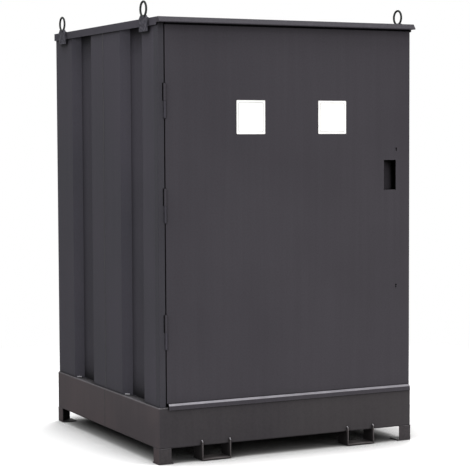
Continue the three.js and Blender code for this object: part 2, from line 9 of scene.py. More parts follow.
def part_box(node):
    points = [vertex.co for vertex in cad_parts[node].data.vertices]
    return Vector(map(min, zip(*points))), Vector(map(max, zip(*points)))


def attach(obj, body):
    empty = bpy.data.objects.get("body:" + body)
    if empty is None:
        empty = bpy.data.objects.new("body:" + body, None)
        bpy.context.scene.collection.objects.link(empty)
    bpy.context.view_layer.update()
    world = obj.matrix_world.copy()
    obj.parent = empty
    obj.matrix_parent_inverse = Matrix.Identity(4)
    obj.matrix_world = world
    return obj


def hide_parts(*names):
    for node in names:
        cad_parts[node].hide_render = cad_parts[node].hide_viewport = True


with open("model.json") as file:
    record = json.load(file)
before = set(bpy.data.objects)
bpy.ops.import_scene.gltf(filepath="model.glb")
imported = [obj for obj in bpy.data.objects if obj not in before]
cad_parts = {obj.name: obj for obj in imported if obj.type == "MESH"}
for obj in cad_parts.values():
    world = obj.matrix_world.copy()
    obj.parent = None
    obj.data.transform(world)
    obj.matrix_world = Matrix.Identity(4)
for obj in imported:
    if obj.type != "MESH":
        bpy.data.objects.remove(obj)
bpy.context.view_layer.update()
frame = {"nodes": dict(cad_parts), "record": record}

MM = 0.001

# Camera, fitted to the cabinet's edges in the photograph of 470 by 470 pixels
PHOTO_SIZE = 470
FOCAL_PIXELS = 1597.3
SENSOR_WIDTH = 36.0
CAMERA_PLACE = (-3.5078, -7.1322, 1.4591)
CAMERA_YAW = math.radians(26.42)
CAMERA_PITCH = math.radians(-3.44)
CAMERA_ROLL = math.radians(-0.24)
CLIP_END = 60.0

# Folded sheets: the start of a node's name, its sheet and the radius inside its folds, in millimetres
FOLDED = {
    "sump_tub": (3.0, 4.0),
    "grating_bearer": (3.0, 3.0),
    "side_wall": (2.0, 3.0),
    "rear_wall": (2.0, 3.0),
    "rear_vent": (1.5, 0.4),
    "hinge_post": (3.0, 1.5),
    "lock_post": (3.0, 2.0),
    "door_header": (3.0, 2.0),
    "door_sill": (3.0, 2.0),
    "roof_tray": (2.5, 1.0),
    "roof_bearer": (2.5, 3.0),
    "canopy": (2.5, 0.3),
    "door_skin": (2.0, 1.0),
    "door_stiffener": (2.0, 2.0),
    "door_skirt": (2.0, 0.8),
    "handle_pocket": (2.0, 2.0),
}

# Solid pieces: the start of a node's name and how far its edges are eased, in millimetres
EASED = {"fork_loop": 0.9, "lifting_plate": 1.2, "lock_case": 1.0, "lock_bolt": 0.8}

# Pieces whose coat isn't their slot's usual one: the start of a node's name and the coat
OWN_COATS = {
    "lifting_plate": "welded_powder_coat", "lifting_ring": "ring_powder_coat",
    "handle_pocket": "shaded_pocket_powder_coat", "fork_loop": "loop_powder_coat", "foot": "foot_powder_coat",
    "hinge_post": "shaded_post_powder_coat", "canopy": "door_powder_coat",
}

# Meshing
WELD_DISTANCE = 0.02 * MM
FLAT_ANGLE = math.radians(0.5)
FOLD_ANGLE = math.radians(12)
RIM_ANGLE = math.radians(40)
FOLD_STEPS = 4
RIM_STEPS = 2
RIM_EASE = 0.35
SLIM_SHARE = 1.3
ROUND_STEPS = 48
RING_STEPS = 96
BAR_STEPS = 24

body_of = {node: body for body, nodes in frame["record"]["behaviour"]["bodies"].items() for node in nodes}
slot_of = {part["node"]: part["material_slot"] for part in frame["record"]["subparts"]}
sump_low, sump_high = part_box("sump_tub")
door_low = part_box("door_skin")[0]
sides = {"left": -1, "right": 1}
corners = [(end_name, side_name) for side_name in sides for end_name in ("front", "rear")]


def nodes_like(*starts):
    """The nodes whose names start in one of these ways, in order."""
    return sorted(node for node in body_of if node.startswith(starts))


def linear(hex_colour):
    """A colour given as sRGB hex, in the linear values that a socket takes."""
    channels = [int(hex_colour[i:i + 2], 16) / 255 for i in (1, 3, 5)]
    return (*(c / 12.92 if c <= 0.04045 else ((c + 0.055) / 1.055) ** 2.4 for c in channels), 1.0)


# Kinds of node that the finishes are made of most
NOISE = "ShaderNodeTexNoise"
STRETCH = "ShaderNodeMapping"
MATH = "ShaderNodeMath"
MIX = "ShaderNodeMix"
RAMP = "ShaderNodeValToRGB"
BUMP = "ShaderNodeBump"
OPENNESS = "ShaderNodeAmbientOcclusion"
NORMALS = "ShaderNodeNewGeometry"
VECTOR_MATH = "ShaderNodeVectorMath"
MAP_RANGE = "ShaderNodeMapRange"
LIGHT_PATH = "ShaderNodeLightPath"
PRINCIPLED = "ShaderNodeBsdfPrincipled"
OUTPUT = "ShaderNodeOutputMaterial"


def add(tree, kind, inputs=None, out=None, stops=(), **settings):
    """Adds a node with its settings, and a ramp's stops, each a place and a grey or a hex colour. An input is
    a value, or the output that it is linked to. Gives the node, or the output that out names."""
    made = tree.nodes.new(kind)
    for name, value in settings.items():
        setattr(made, name, value)
    for socket, value in (inputs or {}).items():
        if isinstance(value, bpy.types.NodeSocket):
            tree.links.new(value, made.inputs[socket])
        else:
            made.inputs[socket].default_value = value
    if stops:
        elements = made.color_ramp.elements
        while len(elements) < len(stops):
            elements.new(0.5)
        for element, (place, colour) in zip(elements, stops):
            element.position = place
            element.color = linear(colour) if isinstance(colour, str) else (colour, colour, colour, 1)
    return made if out is None else made.outputs[out]


def new_material(name):
    """An empty material, its tree and the Object coordinates there."""
    made = bpy.data.materials.new(name)
    made.use_nodes = True
    made.node_tree.nodes.clear()
    return made, made.node_tree, add(made.node_tree, "ShaderNodeTexCoord", out="Object")


# Powder coat, with the sizes of its patterns in millimetres
COAT_SPECULAR = 0.025
PEEL_SIZE = 6.0
PEEL_DEPTH = 0.05
WAVE_SIZE = 300.0
WAVE_DEPTH = 0.5
CLOUD_SIZE = 520.0
SPECK_SIZE = 8.0
STREAK_SIZE = 30.0
STREAK_STRETCH = (1, 1, 0.03)
LUMP_SIZE = 13.0
EDGE_RADIUS = 3.0
EDGE_TURN = (0.985, 0.78)

# What a coat has unless it says otherwise: the painted light and shade on its sides, the painted highlight on
# its upward faces, how open a place must be to have no painted shade, how much of that shade holds on sloping
# faces, and how deep the lumps of a blotchy coat are
USUAL_COAT = {
    "painted_side_light_and_shade": "#423F43", "painted_side_share": 0.0, "top_highlight": "#6A696E", "top_highlight_share": 0.3, "clear": 1.0,
    "slopes": 1.0, "lumps": 0.0,
}

# The coats, each with its tone, its darker clouds or blotches, its worn edges and its painted shade in
# corners:
# the shade's reach, its darkest share, and how open a place is at that share. How open a place is counts
# straight ahead of its face, or the way that shaded_from gives
COATS = {
    "body_powder_coat": {
        "tone": "#413F46", "deep": "#3B3A40", "worn": "#5E5D63", "painted_side_share": 0.15, "top_highlight_share": 0.25,
        "corner_shade": (150.0, 0.18, 0.78), "slopes": 0.2,
    },
    "door_powder_coat": {
        "tone": "#3E3C41", "deep": "#3B393E", "worn": "#5C5B60", "painted_side_light_and_shade": "#3F3C3E", "painted_side_share": 0.1,
        "corner_shade": (60.0, 0.1, 0.3),
    },
    # The hinge post: a darker copy of the body's coat, with painted shade under the canopy
    "shaded_post_powder_coat": {
        "tone": "#3C3B40", "deep": "#38373C", "worn": "#545358", "corner_shade": (60.0, 0.05, 0.5),
    },
    # The sump: painted light on its sides and a strong painted highlight on its upward faces and top edge
    "sump_powder_coat": {
        "tone": "#3C3A3C", "deep": "#373538", "worn": "#6A686B", "painted_side_light_and_shade": "#51494B", "painted_side_share": 0.85,
        "top_highlight": "#8A888C", "top_highlight_share": 0.75, "corner_shade": (80.0, 0.1, 0.45),
    },
    # The feet: painted light on their sides and deep painted shade where the sump closes them in
    "foot_powder_coat": {
        "tone": "#403D3F", "deep": "#393739", "worn": "#6A686B", "painted_side_light_and_shade": "#504647", "painted_side_share": 0.8,
        "top_highlight": "#6A686B", "corner_shade": (400.0, 0.06, 0.22), "clear": 0.5, "lumps": 0.3,
    },
    # The fork loops: painted shade on their sides under the sump and a painted highlight on their tops
    "loop_powder_coat": {
        "tone": "#5A5657", "deep": "#4A4748", "worn": "#6A686B", "painted_side_light_and_shade": "#1C1A1B", "painted_side_share": 1.0,
        "top_highlight": "#8A8484", "top_highlight_share": 0.7, "corner_shade": (70.0, 0.25, 0.3),
    },
    "welded_powder_coat": {
        "tone": "#504F56", "deep": "#302F35", "worn": "#5A595F", "painted_side_share": 0.1, "top_highlight_share": 0.25,
        "corner_shade": (20.0, 0.2, 0.4), "lumps": 3.0,
    },
    # The handle pocket: a darker copy of the door's coat, with painted shade falling from its top edge
    "shaded_pocket_powder_coat": {
        "tone": "#343237", "deep": "#2F2D32", "worn": "#504F54", "top_highlight": "#4A494E", "top_highlight_share": 0.2,
        "corner_shade": (200.0, 0.0, 0.3), "clear": 0.8, "shaded_from": (0.25, -0.45, 0.85),
    },
    "ring_powder_coat": {
        "tone": "#2E302F", "deep": "#262827", "worn": "#4C4C4D", "top_highlight": "#484A4A", "corner_shade": (12.0, 0.4, 0.3),
    },
}


def edge_share(tree):
    """1 on sharp outer edges and 0 on flats: how far a rounded normal turns from the real one."""
    rounded = add(tree, "ShaderNodeBevel", {"Radius": EDGE_RADIUS * MM}, "Normal", samples=6)
    real = add(tree, NORMALS, out="Normal")
    alike = add(tree, VECTOR_MATH, {0: rounded, 1: real}, "Value", operation="DOT_PRODUCT")
    flat, sharp = EDGE_TURN
    return add(tree, MAP_RANGE, {"Value": alike, "From Min": flat, "From Max": sharp}, "Result")


def looking(tree, way):
    """How far a face looks along X or Y, to either side, or up along Z: from 0 to 1."""
    along = add(tree, "ShaderNodeSeparateXYZ", {0: add(tree, NORMALS, out="Normal")}, way)
    return add(tree, MATH, {0: along, 1: 0.0}, 0, operation="MAXIMUM" if way == "Z" else "ABSOLUTE")


def powder_coat(name, coat):
    """Satin polyester powder coat, sprayed and baked: soft broad highlights over a fine orange peel, slow
    changes of shade over the sheet, faint runs down it, painted light and shade on what looks to the sides, a
    painted highlight on what looks up, a film that is thin and pale on the edges, and painted shade in the
    folds."""
    made, tree, place = new_material(name)
    drawn_out = add(tree, STRETCH, {"Vector": place, "Scale": STREAK_STRETCH}, "Vector")
    specks, clouds, streaks, lumps, waves, peel = (
        add(tree, NOISE, {"Vector": where, "Scale": 1 / (size * MM), "Detail": detail}, "Fac")
        for where, size, detail in [
            (place, SPECK_SIZE, 4), (place, CLOUD_SIZE, 3), (drawn_out, STREAK_SIZE, 2),
            (place, LUMP_SIZE, 3), (place, WAVE_SIZE, 1), (place, PEEL_SIZE, 2),
        ]
    )

    shares = []
    for where, pattern, stops, most in [
        # Faces that look to either side: painted light and shade
        (looking(tree, "X"), clouds, [(0.34, 0.45), (0.6, 1.0)], coat["painted_side_share"]),
        # Faces that look up: a painted highlight
        (looking(tree, "Z"), specks, [(0.36, 0.6), (0.6, 1.0)], coat["top_highlight_share"]),
        (edge_share(tree), specks, [(0.38, 0.1), (0.62, 0.6)], 1.0),
    ]:
        patchy = add(tree, RAMP, {0: pattern}, 0, stops)
        there = add(tree, MATH, {0: where, 1: patchy}, 0, operation="MULTIPLY")
        shares.append(add(tree, MATH, {0: there, 1: most}, 0, operation="MULTIPLY"))
    sides_painted, lit_from_above, worn = shares

    # Painted shade in corners and folds: darker where a place is less open, and weaker on sloping faces
    reach, darkest, shut = coat["corner_shade"]
    air = {"Distance": reach * MM}
    if "shaded_from" in coat:
        air["Normal"] = add(tree, "ShaderNodeCombineXYZ", dict(enumerate(coat["shaded_from"])), "Vector")
    opened = add(tree, OPENNESS, air, "AO", samples=8)
    corner_shade = add(tree, RAMP, {0: opened}, 0, [(shut, darkest), (coat["clear"], 1.0)])
    squarely = add(tree, MATH, {0: looking(tree, "X"), 1: looking(tree, "Y")}, 0, operation="MAXIMUM")
    shade_held = add(tree, RAMP, {0: squarely}, 0, [(0.76, coat["slopes"]), (0.9, 1.0)])

    blotches = lumps if coat["lumps"] else clouds
    colour = add(tree, RAMP, {0: blotches}, 0, [(0.36, coat["deep"]), (0.62, coat["tone"])])
    for share, layer, blend in [
        (sides_painted, linear(coat["painted_side_light_and_shade"]), "MIX"),
        (lit_from_above, linear(coat["top_highlight"]), "MIX"),
        (1.0, add(tree, RAMP, {0: streaks}, 0, [(0.36, 0.95), (0.64, 1.0)]), "MULTIPLY"),
        (1.0, add(tree, RAMP, {0: specks}, 0, [(0.34, 0.91), (0.60, 1.0)]), "MULTIPLY"),
        (worn, linear(coat["worn"]), "MIX"),
        (shade_held, corner_shade, "MULTIPLY"),
    ]:
        colour = add(tree, MIX, {0: share, 6: colour, 7: layer}, 2, data_type="RGBA", blend_type=blend)

    normal = add(tree, BUMP, {"Height": waves, "Distance": WAVE_DEPTH * MM}, "Normal")
    for height, depth in [(peel, PEEL_DEPTH), (lumps, coat["lumps"])]:
        if depth:
            normal = add(tree, BUMP, {"Height": height, "Distance": depth * MM, "Normal": normal}, "Normal")
    both = add(tree, MATH, {0: specks, 1: clouds}, 0, operation="ADD")
    mottle = add(tree, MATH, {0: both, 1: 0.5}, 0, operation="MULTIPLY")
    shader = add(tree, PRINCIPLED, {
        "Base Color": colour, "Roughness": add(tree, RAMP, {0: mottle}, 0, [(0.38, 0.48), (0.62, 0.6)]),
        "Normal": normal, "Specular IOR Level": COAT_SPECULAR,
    }, "BSDF")
    add(tree, OUTPUT, {"Surface": shader})
    return made


# Other finishes, with the sizes of their patterns in millimetres
SPANGLE_SIZE = 14.0
SPANGLE_DEPTH = 0.03
SCUFF_SIZE = 60.0
HOLE_SHADE_REACH = 14.0
EVEN = (1, 1, 1)
UPRIGHT_LINES = (1, 1, 0.04)
LEVEL_LINES = (0.04, 1, 1)


def hot_dip_galvanised():
    """Hot dip galvanised steel: crystals of zinc, each with its own shade and shine, under a dull bloom."""
    made, tree, place = new_material("hot_dip_galvanised_steel")
    spangle = {"Vector": place, "Scale": 1 / (SPANGLE_SIZE * MM)}
    crystal = add(tree, "ShaderNodeTexVoronoi", spangle, "Color")
    shade = add(tree, "ShaderNodeRGBToBW", {"Color": crystal}, "Val")
    bloom = add(tree, NOISE, {"Vector": place, "Scale": 1 / (SCUFF_SIZE * MM), "Detail": 4}, "Fac")
    dull = add(tree, RAMP, {0: bloom}, 0, [(0.5, 0.0), (0.7, 0.5)])
    zinc = add(tree, RAMP, {0: shade}, 0, [(0.15, "#8A8F93"), (0.85, "#B4B9BD")])
    zinc = add(tree, MIX, {0: dull, 6: zinc, 7: linear("#7C8081")}, 2, data_type="RGBA")
    shader = add(tree, PRINCIPLED, {
        "Base Color": zinc, "Metallic": 0.85,
        "Roughness": add(tree, RAMP, {0: shade}, 0, [(0.1, 0.38), (0.9, 0.56)]),
        "Normal": add(tree, BUMP, {"Height": shade, "Distance": SPANGLE_DEPTH * MM}, "Normal"),
    }, "BSDF")
    add(tree, OUTPUT, {"Surface": shader})
    return made


# What a finish of the table below has unless it says otherwise
USUAL_FINISH = {"broad": (SCUFF_SIZE, 4, EVEN), "depth": 0.02, "metallic": 0.0}

# Finishes whose colour follows a broad pattern and whose relief follows a fine one. A pattern has its size,
# its detail and how it is drawn out; the roughness follows one of the two
PLAIN_FINISHES = {
    # Bright zinc plate on pressed steel: a cold grey shine, slightly cloudy, with small dull scuffs and
    # painted shade in its holes and corners
    "bright_zinc_plate": {
        "broad": (SCUFF_SIZE, 5, EVEN), "fine": (1.6, 3, EVEN), "metallic": 0.95,
        "colour": [(0.35, "#8F9392"), (0.6, "#A6AAA9")], "roughness": ("broad", [(0.4, 0.28), (0.62, 0.46)]),
        "hole_shade": [(0.75, 0.01), (1.0, 1.0)],
    },
    # Bright drawn steel: fine lines along the bar, a film of oil that dulls it in patches, and painted shade
    # in its holes and corners
    "bright_drawn_steel": {
        "broad": (SCUFF_SIZE, 3, EVEN), "fine": (1.2, 2, UPRIGHT_LINES), "metallic": 1.0,
        "colour": [(0.4, "#7C7D80"), (0.6, "#96979A")], "roughness": ("broad", [(0.4, 0.34), (0.6, 0.24)]),
        "hole_shade": [(0.4, 0.05), (0.95, 1.0)],
    },
    # Dark seam sealer, pressed along a seam and wiped: slightly soft in its shine and uneven
    "dark_seam_sealer": {
        "colour": [(0.36, "#151415"), (0.62, "#201E20")], "roughness": ("broad", [(0.35, 0.5), (0.6, 0.7)]),
        "fine": (SCUFF_SIZE, 4, EVEN), "depth": 0.4,
    },
    # A matt pale grey that covers unevenly, brushed on a few welds as a painted highlight
    "pale_weld_highlight_paint": {
        "colour": [(0.36, "#5C5B5F"), (0.6, "#9C9BA0")], "roughness": ("broad", [(0.35, 0.6), (0.6, 0.75)]),
        "broad": (7.0, 4, EVEN), "fine": (7.0, 4, EVEN), "depth": 0.4,
    },
    # An even pale grey with a faint cast of lilac and lines drawn along it, laid on the door's slope as a
    # painted highlight
    "pale_slope_highlight_finish": {
        "colour": [(0.35, "#807E84"), (0.65, "#8E8C92")], "roughness": ("fine", [(0.3, 0.5), (0.7, 0.6)]),
        "fine": (1.2, 2, LEVEL_LINES), "metallic": 0.6,
    },
    # Extruded EPDM rubber: matt black with a chalky bloom and a fine grain
    "epdm_rubber": {
        "colour": [(0.4, "#161617"), (0.7, "#262627")], "roughness": ("fine", [(0.3, 0.78), (0.7, 0.9)]),
        "fine": (2.5, 3, EVEN), "depth": 0.06,
    },
    # Calendered vinyl film: even and smooth, with faint smudges and the sheet's peel under it
    "white_vinyl_film": {
        "colour": [(0.3, "#E2E2E0"), (0.55, "#EBEBEA")], "roughness": ("broad", [(0.35, 0.46), (0.6, 0.36)]),
        "fine": (3.0, 2, EVEN),
    },
    # Grey ink on the film, as smooth as the film is
    "printed_grey_rule": {
        "colour": [(0.3, "#8C8E91"), (0.55, "#9C9EA1")], "roughness": ("broad", [(0.35, 0.46), (0.6, 0.36)]),
        "fine": (3.0, 2, EVEN),
    },
}


def plain_finish(name, finish):
    """A finish of the table above, with painted shade in its holes and corners where it has any."""
    made, tree, place = new_material(name)
    patterns = {}
    for scale in ("broad", "fine"):
        size, detail, stretch = finish[scale]
        drawn_out = add(tree, STRETCH, {"Vector": place, "Scale": stretch}, "Vector")
        lumps = {"Vector": drawn_out, "Scale": 1 / (size * MM), "Detail": detail}
        patterns[scale] = add(tree, NOISE, lumps, "Fac")
    colour = add(tree, RAMP, {0: patterns["broad"]}, 0, finish["colour"])
    # Painted shade in holes and corners, darkest where a place is least open
    if "hole_shade" in finish:
        opened = add(tree, OPENNESS, {"Distance": HOLE_SHADE_REACH * MM}, "AO", samples=8)
        hole_shade = add(tree, RAMP, {0: opened}, 0, finish["hole_shade"])
        colour = add(tree, MIX, {0: 1.0, 6: colour, 7: hole_shade}, 2, data_type="RGBA", blend_type="MULTIPLY")
    followed, stops = finish["roughness"]
    relief = {"Height": patterns["fine"], "Distance": finish["depth"] * MM}
    shader = add(tree, PRINCIPLED, {
        "Base Color": colour, "Metallic": finish["metallic"],
        "Roughness": add(tree, RAMP, {0: patterns[followed]}, 0, stops),
        "Normal": add(tree, BUMP, relief, "Normal"),
    }, "BSDF")
    add(tree, OUTPUT, {"Surface": shader})
    return made


coats = {name: powder_coat(name, {**USUAL_COAT, **coat}) for name, coat in COATS.items()}
plain_finishes = {name: plain_finish(name, {**USUAL_FINISH, **own}) for name, own in PLAIN_FINISHES.items()}
finishes = {
    "body_paint": coats["body_powder_coat"],
    "door_paint": coats["door_powder_coat"],
    "sump_paint": coats["sump_powder_coat"],
    "galvanised_steel": hot_dip_galvanised(),
    "zinc_plate": plain_finishes["bright_zinc_plate"],
    "bright_steel": plain_finishes["bright_drawn_steel"],
    "seal_rubber": plain_finishes["epdm_rubber"],
}
weld_highlight = plain_finishes["pale_weld_highlight_paint"]
sealer = plain_finishes["dark_seam_sealer"]


def piece_from(name, made, *materials):
    """A piece with this mesh, in metres, with every face smooth."""
    for face in made.faces:
        face.smooth = True
    mesh = bpy.data.meshes.new(name)
    made.to_mesh(mesh)
    made.free()
    for material in materials:
        mesh.materials.append(material)
    piece = bpy.data.objects.new(name, mesh)
    bpy.context.collection.objects.link(piece)
    return piece


def plain(piece):
    """Turns what a piece's modifiers make into its own mesh and takes the modifiers off."""
    seen = piece.evaluated_get(bpy.context.evaluated_depsgraph_get())
    mesh = bpy.data.meshes.new_from_object(seen)
    piece.modifiers.clear()
    piece.data = mesh
    return piece


def finished(piece, ease=0.0, folds=0.0):
    """Rounds a piece's marked folds and then eases its other sharp edges, in metres."""
    if folds:
        rounding = piece.modifiers.new("folds", "BEVEL")
        rounding.limit_method = "WEIGHT"
        rounding.width = folds
        rounding.segments = FOLD_STEPS
    if ease:
        easing = piece.modifiers.new("rims", "BEVEL")
        easing.limit_method = "ANGLE"
        easing.angle_limit = RIM_ANGLE
        easing.width = ease
        easing.segments = RIM_STEPS
    piece.modifiers.new("normals", "WEIGHTED_NORMAL")
    return plain(piece)


def stand_for(piece, node):
    """The piece moves with the node's body and shows in its place, the node hidden."""
    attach(piece, body_of[node])
    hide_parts(node)


def merged_copy(node):
    """A node's solid as a clean mesh: its shared corners joined and its flat faces made whole."""
    made = bmesh.new()
    made.from_mesh(frame["nodes"][node].data)
    bmesh.ops.remove_doubles(made, verts=made.verts, dist=WELD_DISTANCE)
    bmesh.ops.dissolve_limit(made, angle_limit=FLAT_ANGLE, verts=made.verts, edges=made.edges)
    return made


def mark_folds(made, sheet, inner):
    """Weights each fold of a sheet for a bevel and gives the widest; cut rims aren't folds."""
    weights = made.edges.layers.float.new("bevel_weight_edge")
    slim = {face for face in made.faces if 2 * face.calc_area() < SLIM_SHARE * sheet * face.calc_perimeter()}
    widths = {}
    for edge in made.edges:
        if len(edge.link_faces) != 2 or slim.intersection(edge.link_faces):
            continue
        turn = edge.calc_face_angle_signed(0.0)
        if abs(turn) > FOLD_ANGLE:
            radius = inner + sheet if turn > 0 else inner
            widths[edge] = radius * math.tan(abs(turn) / 2)
    widest = max(widths.values(), default=0.0)
    for edge, width in widths.items():
        edge[weights] = width / widest
    return widest


def finish_of(node):
    """The finish that a node shows: its slot's own, or a coat that suits its place."""
    for start, coat in OWN_COATS.items():
        if node.startswith(start):
            return coats[coat]
    return finishes[slot_of[node]]


def form_sheets():
    """Folded sheets, each from its node's solid with its folds rounded and its cut rims eased."""
    for start, (sheet, inner) in FOLDED.items():
        for node in nodes_like(start):
            made = merged_copy(node)
            folds = mark_folds(made, sheet * MM, inner * MM)
            piece = piece_from(f"{node}_formed", made, finish_of(node))
            stand_for(finished(piece, RIM_EASE * MM, folds), node)


def ease_solids():
    """Thick plates, tubes, lock cases and bolts, each from its node's solid with its edges eased."""
    for start, ease in EASED.items():
        for node in nodes_like(start):
            piece = piece_from(f"{node}_eased", merged_copy(node), finish_of(node))
            stand_for(finished(piece, ease * MM), node)


def skinned(name, loops, material, closed):
    """A piece skinned over loops of points, in metres; closed joins the last loop to the first."""
    made = bmesh.new()
    rows = [[made.verts.new(point) for point in loop] for loop in loops]
    for row, after in zip(rows, rows[1:] + (rows[:1] if closed else [])):
        for i in range(len(row)):
            j = (i + 1) % len(row)
            made.faces.new((row[i], row[j], after[j], after[i]))
    if not closed:
        made.faces.new(rows[0])
        made.faces.new(rows[-1])
    bmesh.ops.recalc_face_normals(made, faces=made.faces)
    return piece_from(name, made, material)


def turned(name, profile, centre, material):
    """A turned piece on an upright axis; its profile is radius and height in metres, in order."""
    loops = []
    for radius, height in profile:
        angles = [i * math.tau / ROUND_STEPS for i in range(ROUND_STEPS)]
        loops.append([
            (centre.x + radius * math.cos(angle), centre.y + radius * math.sin(angle), height)
            for angle in angles
        ])
    return skinned(name, loops, material, closed=False)


# Feet: short folded angles, open to the inside, each on its sole plate
FOOT_TUBE = 62.0
FOOT_WALL = 6.0
FOOT_EASE = 1.4


def foot_corner(end_name, side_name):
    """A foot's outer corner, and the ways along X and Y that lead in from it."""
    low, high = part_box(f"foot_{end_name}_{side_name}")
    x, in_x = (high.x, -1) if side_name == "right" else (low.x, 1)
    y, in_y = (high.y, -1) if end_name == "rear" else (low.y, 1)
    return x, y, in_x, in_y


def angle_outline(x, y, in_x, in_y):
    """The outline of a foot's angle, from its outer corner round its two legs."""
    leg = FOOT_TUBE * MM
    wall = FOOT_WALL * MM
    steps = [(0, 0), (leg, 0), (leg, wall), (wall, wall), (wall, leg), (0, leg)]
    return [(x + in_x * a, y + in_y * b) for a, b in steps]


def make_feet():
    """Each foot in one piece: its sole plate and the angle that stands on it, their edges eased."""
    for end_name, side_name in corners:
        node = f"foot_{end_name}_{side_name}"
        low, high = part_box(node)
        plate_top = sorted({round(v.co.z, 5) for v in frame["nodes"][node].data.vertices})[1]
        sole = [(low.x, low.y), (high.x, low.y), (high.x, high.y), (low.x, high.y)]
        angle = angle_outline(*foot_corner(end_name, side_name))
        made = bmesh.new()
        for outline, bottom, top in [(sole, low.z, plate_top), (angle, plate_top, high.z)]:
            under = [made.verts.new((x, y, bottom)) for x, y in outline]
            over = [made.verts.new((x, y, top)) for x, y in outline]
            made.faces.new(under)
            made.faces.new(over)
            for i in range(len(outline)):
                j = (i + 1) % len(outline)
                made.faces.new((under[i], under[j], over[j], over[i]))
        bmesh.ops.recalc_face_normals(made, faces=made.faces)
        piece = piece_from(f"{node}_folded", made, finish_of(node))
        stand_for(finished(piece, FOOT_EASE * MM), node)


# Lifting rings: a bar bent round, with its butt weld at the foot
EYE_BAR = 10.0
RING_WELD_SWELL = 0.18
RING_WELD_REACH = math.radians(9)


def make_rings():
    """Each ring swept round its middle, thicker where its ends are welded at the foot."""
    for node in nodes_like("lifting_ring"):
        low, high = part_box(node)
        centre = (low + high) / 2
        bar = EYE_BAR / 2 * MM
        radius = (high.y - low.y) / 2 - bar
        loops = []
        for i in range(RING_STEPS):
            around = i * math.tau / RING_STEPS
            from_foot = math.remainder(around + math.pi / 2, math.tau) / RING_WELD_REACH
            thick = bar * (1 + RING_WELD_SWELL * math.exp(-from_foot ** 2))
            loop = []
            for j in range(BAR_STEPS):
                angle = j * math.tau / BAR_STEPS
                reach = radius + thick * math.cos(angle)
                y, z = reach * math.cos(around), reach * math.sin(around)
                loop.append(centre + Vector((thick * math.sin(angle), y, z)))
            loops.append(loop)
        stand_for(skinned(f"{node}_bent", loops, finish_of(node), closed=True), node)


# Hinges: bullet shaped knuckles, bored for the pin
KNUCKLE_BORE = 4.3
KNUCKLE_DOME = 3.5
KNUCKLE_CHAMFER = 0.7
KNUCKLE_CAP = 6.0
DOME_STEPS = 6
PIN_CHAMFER = 0.8


def knuckle_profile(radius, domed_end, open_end):
    """From the knuckle's domed end, round its open end and down its bore."""
    way = 1 if open_end > domed_end else -1
    profile = []
    for i in range(1, DOME_STEPS + 1):
        angle = i * math.pi / 2 / DOME_STEPS
        rise = KNUCKLE_DOME * MM * (1 - math.cos(angle))
        profile.append((radius * math.sin(angle), domed_end + way * rise))
    profile += [
        (radius, open_end - way * KNUCKLE_CHAMFER * MM), (radius - KNUCKLE_CHAMFER * MM, open_end),
        (KNUCKLE_BORE * MM, open_end), (KNUCKLE_BORE * MM, domed_end + way * KNUCKLE_CAP * MM),
    ]
    return profile


def make_hinges():
    """The hinges' knuckles and pins, turned about the door's axis."""
    for node in nodes_like("hinge_knuckle", "hinge_pin"):
        low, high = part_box(node)
        centre = (low + high) / 2
        radius = (high.x - low.x) / 2
        if "pin" in node:
            chamfer = PIN_CHAMFER * MM
            profile = [
                (radius - chamfer, low.z), (radius, low.z + chamfer),
                (radius, high.z - chamfer), (radius - chamfer, high.z),
            ]
        elif "post" in node:
            profile = knuckle_profile(radius, low.z, high.z)
        else:
            profile = knuckle_profile(radius, high.z, low.z)
        piece = turned(f"{node}_turned", profile, centre, finishes[slot_of[node]])
        stand_for(finished(piece), node)


# Door seal: a bulb on a flat foot, bent round the door's corners
SEAL_WIDTH = 12.0
SEAL_CORNER = 14.0
SEAL_FOOT_SHARE = 0.3
BULB_SHARE = 0.86
CORNER_STEPS = 8
BULB_STEPS = 10


def round_rectangle(low, high, inset, corner):
    """Points as (x, z) round a rectangle that is inset from its limits, with rounded corners."""
    radius = max(corner - inset, corner / 10)
    points = []
    for i, (x, z) in enumerate([(high.x, high.z), (low.x, high.z), (low.x, low.z), (high.x, low.z)]):
        centre_x = x + (inset + radius) * (1 if x == low.x else -1)
        centre_z = z + (inset + radius) * (1 if z == low.z else -1)
        for j in range(CORNER_STEPS + 1):
            angle = (i + j / CORNER_STEPS) * math.pi / 2
            points.append((centre_x + radius * math.cos(angle), centre_z + radius * math.sin(angle)))
    return points


def make_seal():
    """The seal's section carried round the door, its corners rounded."""
    low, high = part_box("door_seal")
    width = SEAL_WIDTH * MM
    depth = high.y - low.y
    foot = low.y + SEAL_FOOT_SHARE * depth
    section = [(0.0, low.y), (width, low.y), (width, foot)]
    for i in range(BULB_STEPS + 1):
        angle = i * math.pi / BULB_STEPS
        reach = width / 2 * (1 + BULB_SHARE * math.cos(angle))
        section.append((reach, foot + (high.y - foot) * math.sqrt(math.sin(angle))))
    section.append((0.0, foot))
    loops = [
        [(x, y, z) for x, z in round_rectangle(low, high, inset, SEAL_CORNER * MM)] for inset, y in section
    ]
    stand_for(skinned("door_seal_bulb", loops, finishes["seal_rubber"], closed=True), "door_seal")


# Kinds of input and of node that the Geometry Nodes trees are made of most
FLOAT = "NodeSocketFloat"
COUNT = "NodeSocketInt"
VECTOR = "NodeSocketVector"
MATERIAL = "NodeSocketMaterial"
CUBE = "GeometryNodeMeshCube"
BALL = "GeometryNodeMeshUVSphere"
ROW = "GeometryNodeMeshLine"
CIRCLE = "GeometryNodeCurvePrimitiveCircle"
RESAMPLE = "GeometryNodeResampleCurve"
SWEEP = "GeometryNodeCurveToMesh"
INSTANCES = "GeometryNodeInstanceOnPoints"
HALF = (0.5, 0.5, 0.5)


